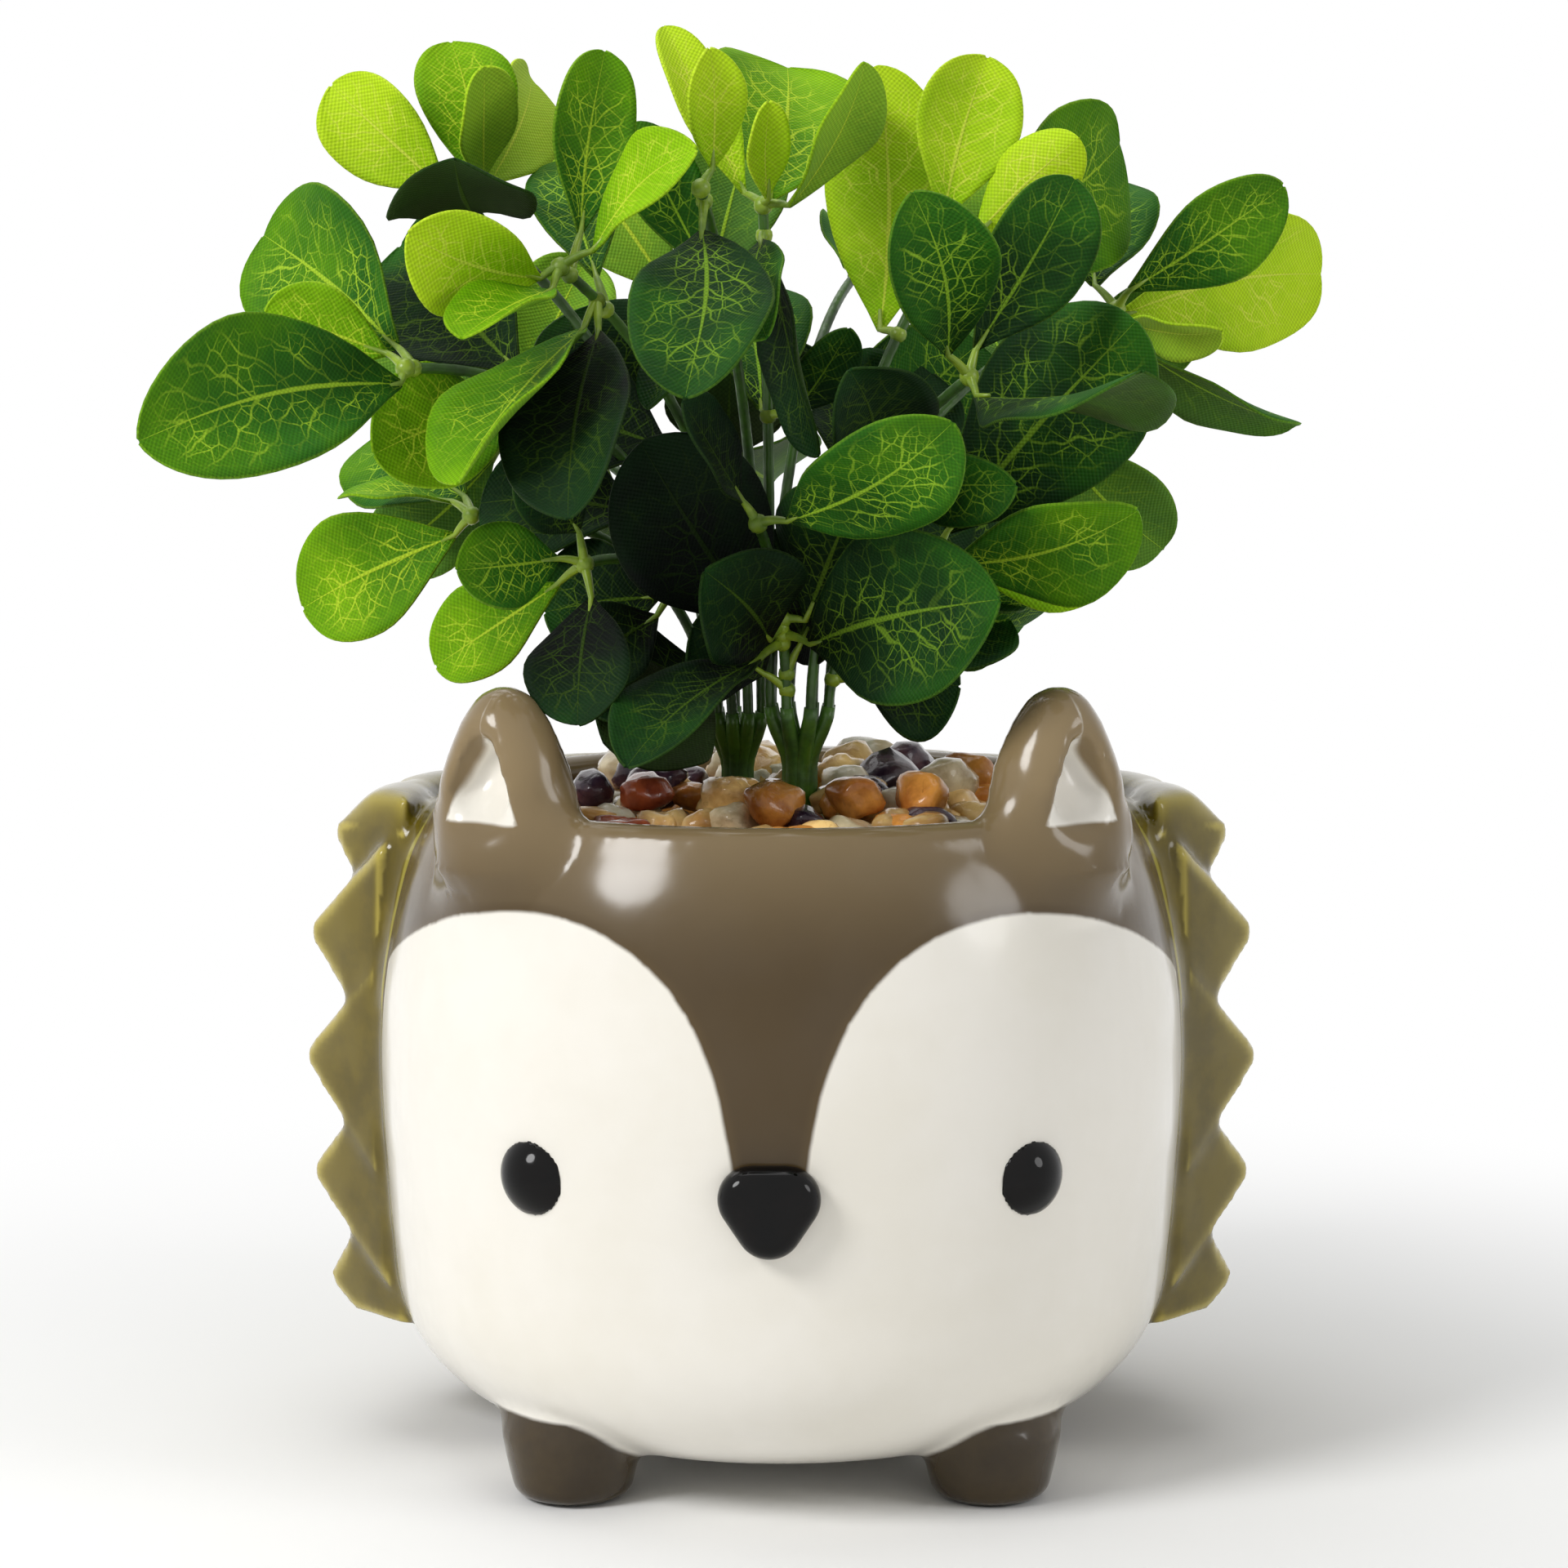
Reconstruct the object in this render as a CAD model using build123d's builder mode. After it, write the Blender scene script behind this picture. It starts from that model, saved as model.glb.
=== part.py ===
from build123d import *
import math
import os

os.makedirs("parts", exist_ok=True)

# pot body, a turned bowl with a rolled rim
belly_radius = 53.4
base_radius = 28.0
base_height = 5.5
rim_height = 89.4
lip_radius = 2.6
mouth_radius = 41.1
wall_thickness = 3.8
floor_radius = 30.0
body_height = rim_height - base_height
lip_center = rim_height - lip_radius
rim_outer_radius = mouth_radius + 2 * lip_radius
floor_height = base_height + wall_thickness
# ends of the arcs of the flank, radius as a share of the belly radius, height as a share of the body height
flank_shares = ((0.861, 0.089), (0.966, 0.23), (1.0, 0.53), (0.936, 0.864))
inside_shares = ((0.865, 0.864), (0.918, 0.68), (0.928, 0.48), (0.89, 0.24), (0.76, 0.1))

# coat of pyramid spines round the back
spine_columns = 12
spine_width = 22.0
spine_rise = 28.0
spine_length = 11.8
spine_tip_width = 1.8
coat_angle = 180.0
coat_front_reach = 14.0
coat_base_height = 16.5
coat_top_height = 88.6
coat_seat_share = 1.001
# height share of each row, surface radius share and lean upwards in degrees
spine_rows_shares = (
    (0.9, 0.92, 6),
    (0.745, 0.985, 2),
    (0.545, 1.0, 0),
    (0.36, 0.985, -3),
    (0.2, 0.945, -10),
)

# ears on the rim, fat cones with a hollowed front
ear_angle = 50.0
ear_foot_drop = 12.0
ear_height = 16.2
ear_width = 21.5
ear_depth = 19.0
ear_tip_round = 1.2
ear_center_radius = 43.6
ear_lean = 2.6
# height share from foot to tip, width share and depth share
ear_section_shares = (
    (0.0, 0.9, 0.66),
    (0.43, 1.0, 1.0),
    (0.72, 0.72, 0.74),
    (0.9, 0.46, 0.5),
    (1.0, 0.2, 0.22),
)
ear_face_turn = 15.0
ear_hollow_width = 12.5
ear_hollow_height = 14.5
ear_hollow_round = 1.8
ear_hollow_offset = 5.8
ear_hollow_base = 87.2
ear_hollow_reach = 12.0
ear_hollow_tilt = 18.0

# feet
foot_offset = 27.0
foot_flat_radius = 5.4
foot_edge_radius = 8.0
foot_edge_height = 2.6
foot_top_radius = 10.6
foot_height = 14.0

# face
nose_shift = -1.5
nose_width = 20.0
nose_height = 10.4
nose_drop = 9.8
nose_round = 4.2
nose_level = 44.0
nose_depth = 5.6
nose_inset = 2.4
nose_edge_round = 2.6
eye_radius = 6.0
eye_sink = 3.7
eye_angle = 36.0
eye_level = 45.5

# insert that fills the pot
seat_clearance = 0.5
foam_top_radius = mouth_radius - seat_clearance
foam_base_radius = 27.0
foam_top_height = 76.0
bed_top_height = 80.8
socket_clearance = 0.05
trunk_root_height = 38.0
left_trunk_place = (-5.7, 4.0)
right_trunk_place = (2.4, -9.0)
left_crown_height = 98.0
right_crown_height = 100.0
trunk_radius = 1.9
crown_radius = 5.3
crown_depth = 7.0
root_circle_radius = 4.1
core_radius = 0.6
core_clearance = 0.03
core_end_depth = 5.0

# pebbles in two layers
pebble_radius = 3.9
pebble_low_height = 6.2
pebble_high_height = 5.6
pebble_spacing = 4.55
pebble_edge_radius = foam_top_radius - 4.1
pebble_heap_radius = 27.0
pebble_trunk_gap = 1.2
golden_angle = 137.508
pebble_sides = 6
pebble_gap = 0.1
# height share from the foot up and size share there
pebble_level_shares = ((0, 0.74), (0.45, 1), (1, 0.82))
pebble_size_shares = (1.0, 0.84, 0.93, 0.78, 0.97, 0.88, 0.8)

# sprigs, clips and leaves
crown_reach = 77.0
crown_base = 93.0
crown_height = 97.0
sprig_radius = 0.8
collar_radius = 1.75
collar_bore = 0.95
collar_length = 2.4
collar_wall_radius = 1.4
petiole_radius = 0.5
petiole_length = 4.2
leaf_gap = 0.3
leaf_thickness = 0.5
leaf_fold = 9.0
stalk_sides = 6
# station along the leaf and half width there
leaf_station_shares = (0.0, 0.14, 0.36, 0.62, 0.84, 0.96, 1.0)
leaf_width_shares = (0.08, 0.36, 0.76, 1.0, 0.78, 0.38, 0.0)


def flank_points(shares):
    points = []
    for radius_share, height_share in shares:
        points.append((belly_radius * radius_share, base_height + body_height * height_share))
    return points


def export(piece, name):
    piece.part.label = name
    export_step(piece.part, "parts/" + name + ".step")


def draw_flank():
    Line((0, base_height), (base_radius, base_height))
    arc = TangentArc((base_radius, base_height), flank_points(flank_shares)[0], tangent=(1, 0))
    for point in (*flank_points(flank_shares)[1:], (rim_outer_radius, lip_center)):
        arc = TangentArc(arc @ 1, point, tangent=arc % 1)


# pot body
with BuildPart() as pot_body:
    with BuildSketch(Plane.XZ):
        with BuildLine():
            draw_flank()
            ThreePointArc((rim_outer_radius, lip_center), (mouth_radius + lip_radius, rim_height),
                          (mouth_radius, lip_center))
            Spline((mouth_radius, lip_center), *flank_points(inside_shares), (floor_radius, floor_height),
                   tangents=((0.3, -1), (-1, 0)))
            Line((floor_radius, floor_height), (0, floor_height))
            Line((0, floor_height), (0, base_height))
        make_face()
    revolve(axis=Axis.Z)
export(pot_body, "pot_body")

# filled outside of the pot, used to seat what is luted on
with BuildPart() as pot_outside:
    with BuildSketch(Plane.XZ):
        with BuildLine():
            draw_flank()
            ThreePointArc((rim_outer_radius, lip_center), (mouth_radius + lip_radius, rim_height),
                          (mouth_radius, lip_center))
            Line((mouth_radius, lip_center), (0, lip_center))
            Line((0, lip_center), (0, base_height))
        make_face()
    revolve(axis=Axis.Z)

# the same a hair larger, so that the coat sits on a thin layer of slip
with BuildPart() as coat_seat:
    add(pot_outside.part)
    scale(by=coat_seat_share)

# one pyramid spine standing on its own base
with BuildPart() as spine:
    with BuildSketch(Plane.XY):
        Rectangle(spine_rise, spine_width)
    with BuildSketch(Plane.XY.offset(spine_length)):
        Rectangle(spine_tip_width, spine_tip_width)
    loft(ruled=True)

# coat of spines, trimmed level at its top and bottom
with BuildPart() as spine_coat:
    column_angle = coat_angle / spine_columns
    spines = []
    for height_share, radius_share, lean in spine_rows_shares:
        level = base_height + body_height * height_share
        seat = Location((belly_radius * radius_share, 0, level), (0, 90 - lean, 0))
        for column in range(spine_columns):
            spines.append(spine.part.moved(Location((0, 0, 0), (0, 0, column_angle * (column + 0.5))) * seat))
    add(spines)
    with BuildSketch(Plane.XY.offset(coat_base_height)):
        with Locations((0, belly_radius)):
            Rectangle(4 * belly_radius, 2 * (belly_radius + coat_front_reach))
    extrude(amount=coat_top_height - coat_base_height, mode=Mode.INTERSECT)
    add(coat_seat.part, mode=Mode.SUBTRACT)
export(spine_coat, "spine_coat")


# ears
def make_ear(side, name):
    turn = side * ear_angle - 90
    rise = ear_height + ear_foot_drop
    with BuildPart() as ear:
        for height_share, width_share, depth_share in ear_section_shares:
            level = rim_height - ear_foot_drop + rise * height_share
            with BuildSketch(Plane((ear_lean * height_share, 0, level))):
                Ellipse(ear_depth * depth_share / 2, ear_width * width_share / 2)
        loft()
        fillet(ear.faces().sort_by(Axis.Z)[-1].edges(), ear_tip_round)
        tilt = math.radians(ear_hollow_tilt)
        hollow_plane = Plane((ear_hollow_offset, 0, ear_hollow_base), x_dir=(0, 1, 0),
                             z_dir=(math.cos(tilt), 0, math.sin(tilt)))
        with BuildSketch(hollow_plane) as hollow:
            with BuildLine():
                Polyline((-ear_hollow_width / 2, 0), (ear_hollow_width / 2, 0),
                         (0, ear_hollow_height), close=True)
            make_face()
            fillet(hollow.vertices(), ear_hollow_round)
        extrude(amount=ear_hollow_reach, mode=Mode.SUBTRACT)
    out_to_rim = Location((ear_center_radius, 0, 0), (0, 0, -side * ear_face_turn))
    seat = Location((0, 0, 0), (0, 0, turn)) * out_to_rim
    with BuildPart() as seated_ear:
        add(ear.part.moved(seat))
        add(pot_outside.part, mode=Mode.SUBTRACT)
        with Locations((0, 0, rim_height)):
            Cylinder(mouth_radius, 2 * ear_height + 2 * ear_foot_drop, mode=Mode.SUBTRACT)
    export(seated_ear, name)


make_ear(-1, "left_ear")
make_ear(1, "right_ear")


# feet
def make_foot(x_side, y_side, name):
    with BuildPart() as foot:
        with BuildSketch(Plane.XZ):
            with BuildLine():
                Line((0, 0), (foot_flat_radius, 0))
                TangentArc((foot_flat_radius, 0), (foot_edge_radius, foot_edge_height), tangent=(1, 0))
                Line((foot_edge_radius, foot_edge_height), (foot_top_radius, foot_height))
                Line((foot_top_radius, foot_height), (0, foot_height))
                Line((0, foot_height), (0, 0))
            make_face()
        revolve(axis=Axis.Z)
    with BuildPart() as seated_foot:
        add(foot.part.moved(Location((x_side * foot_offset, y_side * foot_offset, 0))))
        add(pot_outside.part, mode=Mode.SUBTRACT)
    export(seated_foot, name)


make_foot(-1, -1, "front_left_foot")
make_foot(1, -1, "front_right_foot")
make_foot(-1, 1, "rear_left_foot")
make_foot(1, 1, "rear_right_foot")

# nose, an upside-down rounded triangle
with BuildPart() as nose:
    nose_plane = Plane((nose_shift, nose_inset - belly_radius, nose_level), x_dir=(1, 0, 0), z_dir=(0, -1, 0))
    with BuildSketch(nose_plane) as pad:
        with BuildLine():
            Polyline((-nose_width / 2, nose_height / 2), (nose_width / 2, nose_height / 2),
                     (0, -nose_drop), close=True)
        make_face()
        fillet(pad.vertices(), nose_round)
    extrude(amount=nose_depth)
    fillet(nose.faces().sort_by(Axis.Y)[0].edges(), nose_edge_round)
    add(pot_outside.part, mode=Mode.SUBTRACT)
export(nose, "nose")


# eyes, low domes
def make_eye(side, name):
    reach = belly_radius - eye_sink
    with BuildPart() as eye:
        with Locations((side * reach * math.sin(math.radians(eye_angle)),
                        -reach * math.cos(math.radians(eye_angle)), eye_level)):
            Sphere(eye_radius)
        add(pot_outside.part, mode=Mode.SUBTRACT)
    export(eye, name)


make_eye(-1, "left_eye")
make_eye(1, "right_eye")


# foam plug and gravel bed, each with a socket for both trunks
with BuildPart() as foam_plug:
    with BuildSketch(Plane.XY.offset(floor_height)):
        Circle(foam_base_radius)
    with BuildSketch(Plane.XY.offset(foam_top_height)):
        Circle(foam_top_radius)
    loft()
    with BuildSketch(Plane.XY.offset(trunk_root_height)):
        with Locations(left_trunk_place, right_trunk_place):
            Circle(trunk_radius + socket_clearance)
    extrude(amount=foam_top_height, mode=Mode.SUBTRACT)
export(foam_plug, "foam_plug")

with BuildPart() as gravel_bed:
    with BuildSketch(Plane.XY.offset(foam_top_height)):
        Circle(foam_top_radius)
        with Locations(left_trunk_place, right_trunk_place):
            Circle(trunk_radius + socket_clearance, mode=Mode.SUBTRACT)
    extrude(amount=bed_top_height - foam_top_height)
export(gravel_bed, "gravel_bed")


# trunks with a flared crown, moulded round a steel wire
def make_trunk(place, crown_top, name):
    core_end = crown_top - core_end_depth
    with BuildPart() as trunk:
        with BuildSketch(Plane.XZ):
            with BuildLine():
                Line((core_radius + core_clearance, trunk_root_height), (trunk_radius, trunk_root_height))
                Line((trunk_radius, trunk_root_height), (trunk_radius, crown_top - crown_depth))
                TangentArc((trunk_radius, crown_top - crown_depth), (crown_radius, crown_top), tangent=(0, 1))
                Line((crown_radius, crown_top), (0, crown_top))
                Line((0, crown_top), (0, core_end))
                Line((0, core_end), (core_radius + core_clearance, core_end))
                Line((core_radius + core_clearance, core_end),
                     (core_radius + core_clearance, trunk_root_height))
            make_face()
        revolve(axis=Axis.Z)
    trunk.part = trunk.part.moved(Location((*place, 0)))
    export(trunk, name + "_trunk")
    with BuildPart() as core:
        with BuildSketch(Plane((*place, trunk_root_height))):
            Circle(core_radius)
        extrude(amount=core_end - trunk_root_height)
    export(core, name + "_core_wire")


make_trunk(left_trunk_place, left_crown_height, "left")
make_trunk(right_trunk_place, right_crown_height, "right")


# pebbles, set out on a seed-head spiral in two layers
def clear_of_trunks(x, y, radius):
    for place in (left_trunk_place, right_trunk_place):
        if math.hypot(x - place[0], y - place[1]) < radius + trunk_radius + pebble_trunk_gap:
            return False
    return True


def clear_of_crowns(x, y, radius):
    for place in (left_trunk_place, right_trunk_place):
        if math.hypot(x - place[0], y - place[1]) < radius + crown_radius:
            return False
    return True


pebble_names = ("tan", "amber", "dark", "grey", "white", "red")
pebble_order = (0, 1, 0, 2, 1, 3, 0, 4, 2, 1, 0, 5, 3, 0, 1, 2)
pebble_places = {name: [] for name in pebble_names}
low_count = int((pebble_edge_radius / pebble_spacing) ** 2)
high_count = int((pebble_heap_radius / pebble_spacing) ** 2)
for layer, count in ((0, low_count), (1, high_count)):
    for seed in range(1, count + 1):
        spread = pebble_spacing * math.sqrt(seed)
        turn = golden_angle * (seed + layer * 0.5)
        radius = pebble_radius * pebble_size_shares[(seed + 3 * layer) % len(pebble_size_shares)] - pebble_gap
        x = spread * math.cos(math.radians(turn))
        y = spread * math.sin(math.radians(turn))
        if not clear_of_trunks(x, y, radius):
            continue
        if layer and (seed % 3 == 0 or not clear_of_crowns(x, y, radius)):
            continue
        foot = bed_top_height + layer * pebble_low_height
        height = pebble_high_height if layer else pebble_low_height
        name = pebble_names[pebble_order[(seed + 5 * layer) % len(pebble_order)]]
        pebble_places[name].append((x, y, foot, height, radius, turn))

for name in pebble_names:
    with BuildPart() as pebbles:
        for x, y, foot, height, radius, turn in pebble_places[name]:
            for level_share, size_share in pebble_level_shares:
                with BuildSketch(Plane((x, y, foot + height * level_share))):
                    RegularPolygon(radius * size_share, pebble_sides, rotation=turn)
            loft(ruled=True)
    export(pebbles, name + "_pebbles")


def crown_point(shares):
    x_share, y_share, z_share = shares
    return Vector(crown_reach * x_share, crown_reach * y_share, crown_base + crown_height * z_share)


# one sprig: name, root angle on the crown, end of the stem, places of its whorls along the stem,
# and its leaves as whorl, tip, turn about the leaf's own length and width as a share of its length
left_sprig_shares = (
    ("top", 198, (-0.55, -0.13, 0.76), (0.96,), (
        (0, (-0.76, -0.05, 0.91), -15, 0.55),
        (0, (-0.56, 0.00, 0.97), 10, 0.62),
        (0, (-0.49, -0.29, 0.93), 50, 0.50),
        (0, (-0.43, 0.16, 0.93), 40, 0.50),
        (0, (-0.52, -0.49, 0.81), 0, 0.70),
    )),
    ("upper", 288, (-0.36, -0.34, 0.67), (0.97, 0.87), (
        (0, (-0.59, -0.52, 0.71), -20, 0.60),
        (0, (-0.50, -0.61, 0.58), 60, 0.50),
        (0, (-0.15, -0.55, 0.82), -55, 0.45),
        (0, (-0.29, -0.21, 0.95), 25, 0.42),
        (1, (-0.38, 0.03, 0.82), 15, 0.42),
        (1, (-0.51, -0.65, 0.41), 65, 0.50),
        (1, (-0.33, -0.69, 0.36), 30, 0.42),
    )),
    ("outer", 228, (-0.61, -0.40, 0.54), (0.96, 0.72), (
        (0, (-0.87, -0.05, 0.71), -10, 0.60),
        (0, (-0.84, -0.34, 0.61), 0, 0.62),
        (0, (-0.99, -0.72, 0.46), 12, 0.46),
        (1, (-0.66, 0.08, 0.70), 0, 0.65),
        (1, (-0.66, -0.44, 0.43), 15, 0.66),
    )),
    ("side", 168, (-0.54, 0.03, 0.33), (0.96,), (
        (0, (-0.77, 0.10, 0.36), 80, 0.50),
        (0, (-0.84, 0.10, 0.20), 10, 0.62),
        (0, (-0.74, 0.39, 0.44), 10, 0.6),
    )),
    ("low", 258, (-0.33, -0.26, 0.28), (0.96, 0.5), (
        (0, (-0.53, -0.39, 0.28), 10, 0.65),
        (0, (-0.42, -0.40, 0.43), 20, 0.60),
        (0, (-0.58, -0.18, 0.14), 25, 0.55),
        (0, (-0.33, -0.42, 0.08), 20, 0.66),
        (1, (-0.35, -0.18, 0.13), 10, 0.74),
    )),
    ("centre", 318, (-0.13, -0.39, 0.77), (0.96, 0.74), (
        (0, (-0.15, -0.70, 0.52), 10, 0.54),
        (0, (-0.11, -0.47, 0.94), 25, 0.45),
        (1, (-0.25, -0.16, 0.86), 15, 0.40),
        (1, (-0.22, -0.34, 0.49), 50, 0.45),
    )),
    ("rear", 135, (-0.5, 0.45, 0.43), (0.96, 0.7), (
        (0, (-0.78, 0.5, 0.6), 0, 0.55),
        (0, (-0.62, 0.78, 0.5), 0, 0.55),
        (0, (-0.36, 0.6, 0.68), 0, 0.55),
        (0, (-0.74, 0.44, 0.24), 0, 0.55),
        (1, (-0.25, 0.6, 0.25), 0, 0.55),
    )),
    ("back", 98, (-0.16, 0.5, 0.6), (0.96, 0.6), (
        (0, (-0.4, 0.52, 0.84), 0, 0.55),
        (0, (-0.06, 0.62, 0.86), 0, 0.55),
        (0, (-0.14, 0.82, 0.58), 0, 0.55),
        (1, (-0.02, 0.72, 0.36), 0, 0.55),
    )),
)
right_sprig_shares = (
    ("top", 200, (-0.03, -0.23, 0.75), (0.96, 0.55), (
        (0, (-0.19, -0.13, 0.99), 35, 0.32),
        (0, (0.01, 0.13, 0.94), 10, 0.70),
        (0, (-0.02, -0.34, 0.88), 30, 0.40),
        (0, (0.14, -0.42, 0.92), 55, 0.40),
        (0, (-0.03, -0.57, 0.59), 35, 0.40),
        (0, (0.06, -0.39, 0.43), 60, 0.36),
        (1, (0.11, -0.29, 0.59), 25, 0.50),
        (1, (-0.09, 0.18, 0.65), 15, 0.50),
    )),
    ("upper", 65, (0.29, -0.05, 0.71), (0.96, 0.72, 0.44), (
        (0, (0.35, 0.03, 0.95), 10, 0.55),
        (0, (0.50, -0.10, 0.84), 170, 0.50),
        (0, (0.60, 0.26, 0.84), 15, 0.60),
        (1, (0.17, 0.18, 0.94), 170, 0.42),
        (2, (0.34, 0.18, 0.56), 10, 0.55),
        (2, (0.12, 0.16, 0.50), 0, 0.55),
    )),
    ("mid", 290, (0.31, -0.34, 0.53), (0.96, 0.6), (
        (0, (0.48, -0.34, 0.78), 15, 0.50),
        (0, (0.21, -0.55, 0.76), 10, 0.50),
        (0, (0.55, -0.82, 0.54), 85, 0.48),
        (1, (0.11, -0.60, 0.54), 30, 0.50),
        (1, (0.37, -0.44, 0.39), 10, 0.50),
    )),
    ("outer", 20, (0.59, 0.19, 0.61), (0.96,), (
        (0, (0.87, 0.14, 0.78), 15, 0.45),
        (0, (0.98, 0.52, 0.66), 20, 0.45),
        (0, (0.74, -0.08, 0.58), 50, 0.40),
        (0, (0.92, 0.26, 0.45), 65, 0.42),
        (0, (0.56, 0.52, 0.80), 10, 0.65),
    )),
    ("low", 335, (0.26, -0.18, 0.28), (0.96,), (
        (0, (0.58, -0.31, 0.60), 165, 0.54),
        (0, (0.57, -0.44, 0.35), 30, 0.50),
        (0, (0.59, -0.08, 0.28), 20, 0.50),
        (0, (0.43, 0.08, 0.17), 10, 0.70),
    )),
    ("front", 245, (-0.04, -0.34, 0.34), (0.96, 0.3), (
        (0, (0.26, -0.68, 0.47), 25, 0.45),
        (0, (-0.16, -0.52, 0.50), 60, 0.45),
        (1, (0.12, -0.34, 0.37), 170, 0.80),
        (1, (-0.23, -0.29, 0.44), 10, 0.66),
        (1, (0.34, -0.52, 0.25), -10, 0.62),
        (1, (-0.25, -0.52, 0.05), 60, 0.42),
        (1, (-0.12, -0.44, 0.28), 15, 0.76),
    )),
    ("rear", 110, (0.47, 0.44, 0.46), (0.96, 0.7), (
        (0, (0.75, 0.48, 0.62), 0, 0.55),
        (0, (0.64, 0.76, 0.48), 0, 0.55),
        (0, (0.36, 0.64, 0.64), 0, 0.55),
        (0, (0.7, 0.5, 0.26), 0, 0.55),
        (1, (0.22, 0.62, 0.22), 0, 0.55),
    )),
    ("back", 155, (0.14, 0.48, 0.66), (0.96, 0.62), (
        (0, (0.4, 0.5, 0.86), 0, 0.55),
        (0, (0.14, 0.78, 0.72), 0, 0.55),
        (0, (0.18, 0.42, 0.92), 0, 0.55),
        (1, (0.3, 0.34, 0.52), 0, 0.55),
    )),
)


def leaf_lines(node, along, tip, roll):
    reach = tip - node
    step = (reach - along * reach.dot(along)).normalized()
    start = node + step * collar_wall_radius
    aim = (tip - start).normalized()
    base = start + aim * petiole_length
    view = Vector(0, -1, 0)
    facing = (view - aim * view.dot(aim)).normalized()
    return start, base, aim, facing.rotate(Axis((0, 0, 0), aim), roll)


def make_bush(sprigs, place, crown_top, side):
    collars = []
    petioles = []
    for name, root_angle, end, whorls, leaves in sprigs:
        root = Vector(place[0] + root_circle_radius * math.cos(math.radians(root_angle)),
                      place[1] + root_circle_radius * math.sin(math.radians(root_angle)), crown_top)
        with BuildPart() as sprig:
            with BuildLine() as stem:
                TangentArc(root, crown_point(end), tangent=(0, 0, 1))
            with BuildSketch(Plane(root)):
                RegularPolygon(sprig_radius, stalk_sides)
            sweep(path=stem.line)
        export(sprig, side + "_sprig_" + name)
        nodes = [(stem.line @ share, (stem.line % share).normalized()) for share in whorls]
        collars.extend(nodes)
        with BuildPart() as blades:
            for whorl, tip_shares, roll, width_share in leaves:
                tip = crown_point(tip_shares)
                start, base, aim, normal = leaf_lines(*nodes[whorl], tip, roll)
                petioles.append((start, aim))
                length = (tip - base).length
                half_width = length * width_share / 2
                for half in (-1, 1):
                    lift = normal.rotate(Axis((0, 0, 0), aim), half * leaf_fold)
                    edge = [(length * station, half * half_width * across)
                            for station, across in zip(leaf_station_shares, leaf_width_shares)]
                    with BuildSketch(Plane(base, x_dir=aim, z_dir=lift)):
                        with BuildLine():
                            Polyline((0, 0), *edge, close=True)
                        make_face()
                    extrude(amount=leaf_thickness)
        export(blades, side + "_leaves_" + name)
    with BuildPart() as clips:
        for node, along in collars:
            with BuildSketch(Plane(node - along * (collar_length / 2), z_dir=along)):
                Circle(collar_radius)
                Circle(collar_bore, mode=Mode.SUBTRACT)
        extrude(amount=collar_length)
        for start, aim in petioles:
            with BuildSketch(Plane(start, z_dir=aim)):
                RegularPolygon(petiole_radius, stalk_sides)
        extrude(amount=petiole_length - leaf_gap)
    export(clips, side + "_leaf_clips")


make_bush(left_sprig_shares, left_trunk_place, left_crown_height, "left")
make_bush(right_sprig_shares, right_trunk_place, right_crown_height, "right")
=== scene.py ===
import math
import random

import bmesh
import bpy
import numpy as np
from mathutils import Matrix, Quaternion, Vector, kdtree, noise


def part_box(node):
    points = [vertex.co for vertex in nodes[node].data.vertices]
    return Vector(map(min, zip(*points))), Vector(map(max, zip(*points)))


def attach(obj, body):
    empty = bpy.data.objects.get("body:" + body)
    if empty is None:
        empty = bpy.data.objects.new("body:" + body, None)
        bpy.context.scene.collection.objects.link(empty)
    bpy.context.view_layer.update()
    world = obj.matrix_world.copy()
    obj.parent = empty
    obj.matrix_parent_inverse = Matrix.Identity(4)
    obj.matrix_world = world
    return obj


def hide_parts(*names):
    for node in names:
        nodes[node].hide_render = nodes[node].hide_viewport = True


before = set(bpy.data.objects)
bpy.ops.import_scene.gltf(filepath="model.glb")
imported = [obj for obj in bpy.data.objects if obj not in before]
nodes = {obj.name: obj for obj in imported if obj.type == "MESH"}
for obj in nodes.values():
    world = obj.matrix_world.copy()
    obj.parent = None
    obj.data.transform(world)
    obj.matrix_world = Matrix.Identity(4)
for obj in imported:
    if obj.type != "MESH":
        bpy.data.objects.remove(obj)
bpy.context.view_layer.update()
mm = 0.001
print("frame loaded:", len(nodes), "nodes")


# small tools used by every piece

def srgb(red, green, blue):
    def lin(c):
        c = c / 255
        return c / 12.92 if c <= 0.04045 else ((c + 0.055) / 1.055) ** 2.4
    return (lin(red), lin(green), lin(blue), 1.0)


def put(tree, kind, ins=None, **props):
    node = tree.nodes.new("ShaderNode" + kind)
    for key, value in props.items():
        setattr(node, key, value)
    for key, value in (ins or {}).items():
        if isinstance(value, bpy.types.NodeSocket):
            tree.links.new(value, node.inputs[key])
        else:
            node.inputs[key].default_value = value
    return node


def calc(tree, operation, first, second=0.0, third=0.0, clamp=False):
    return put(tree, "Math", {0: first, 1: second, 2: third}, operation=operation, use_clamp=clamp).outputs[0]


def ramp(tree, value, low, high, toLow=0.0, toHigh=1.0):
    return put(tree, "MapRange", {"Value": value, "From Min": low, "From Max": high, "To Min": toLow,
                                  "To Max": toHigh}, interpolation_type="SMOOTHSTEP").outputs["Result"]


def blendColor(tree, fac, first, second, mode="MIX"):
    node = put(tree, "Mix", {0: fac, 6: first, 7: second}, data_type="RGBA", blend_type=mode)
    return node.outputs[2]


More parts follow.
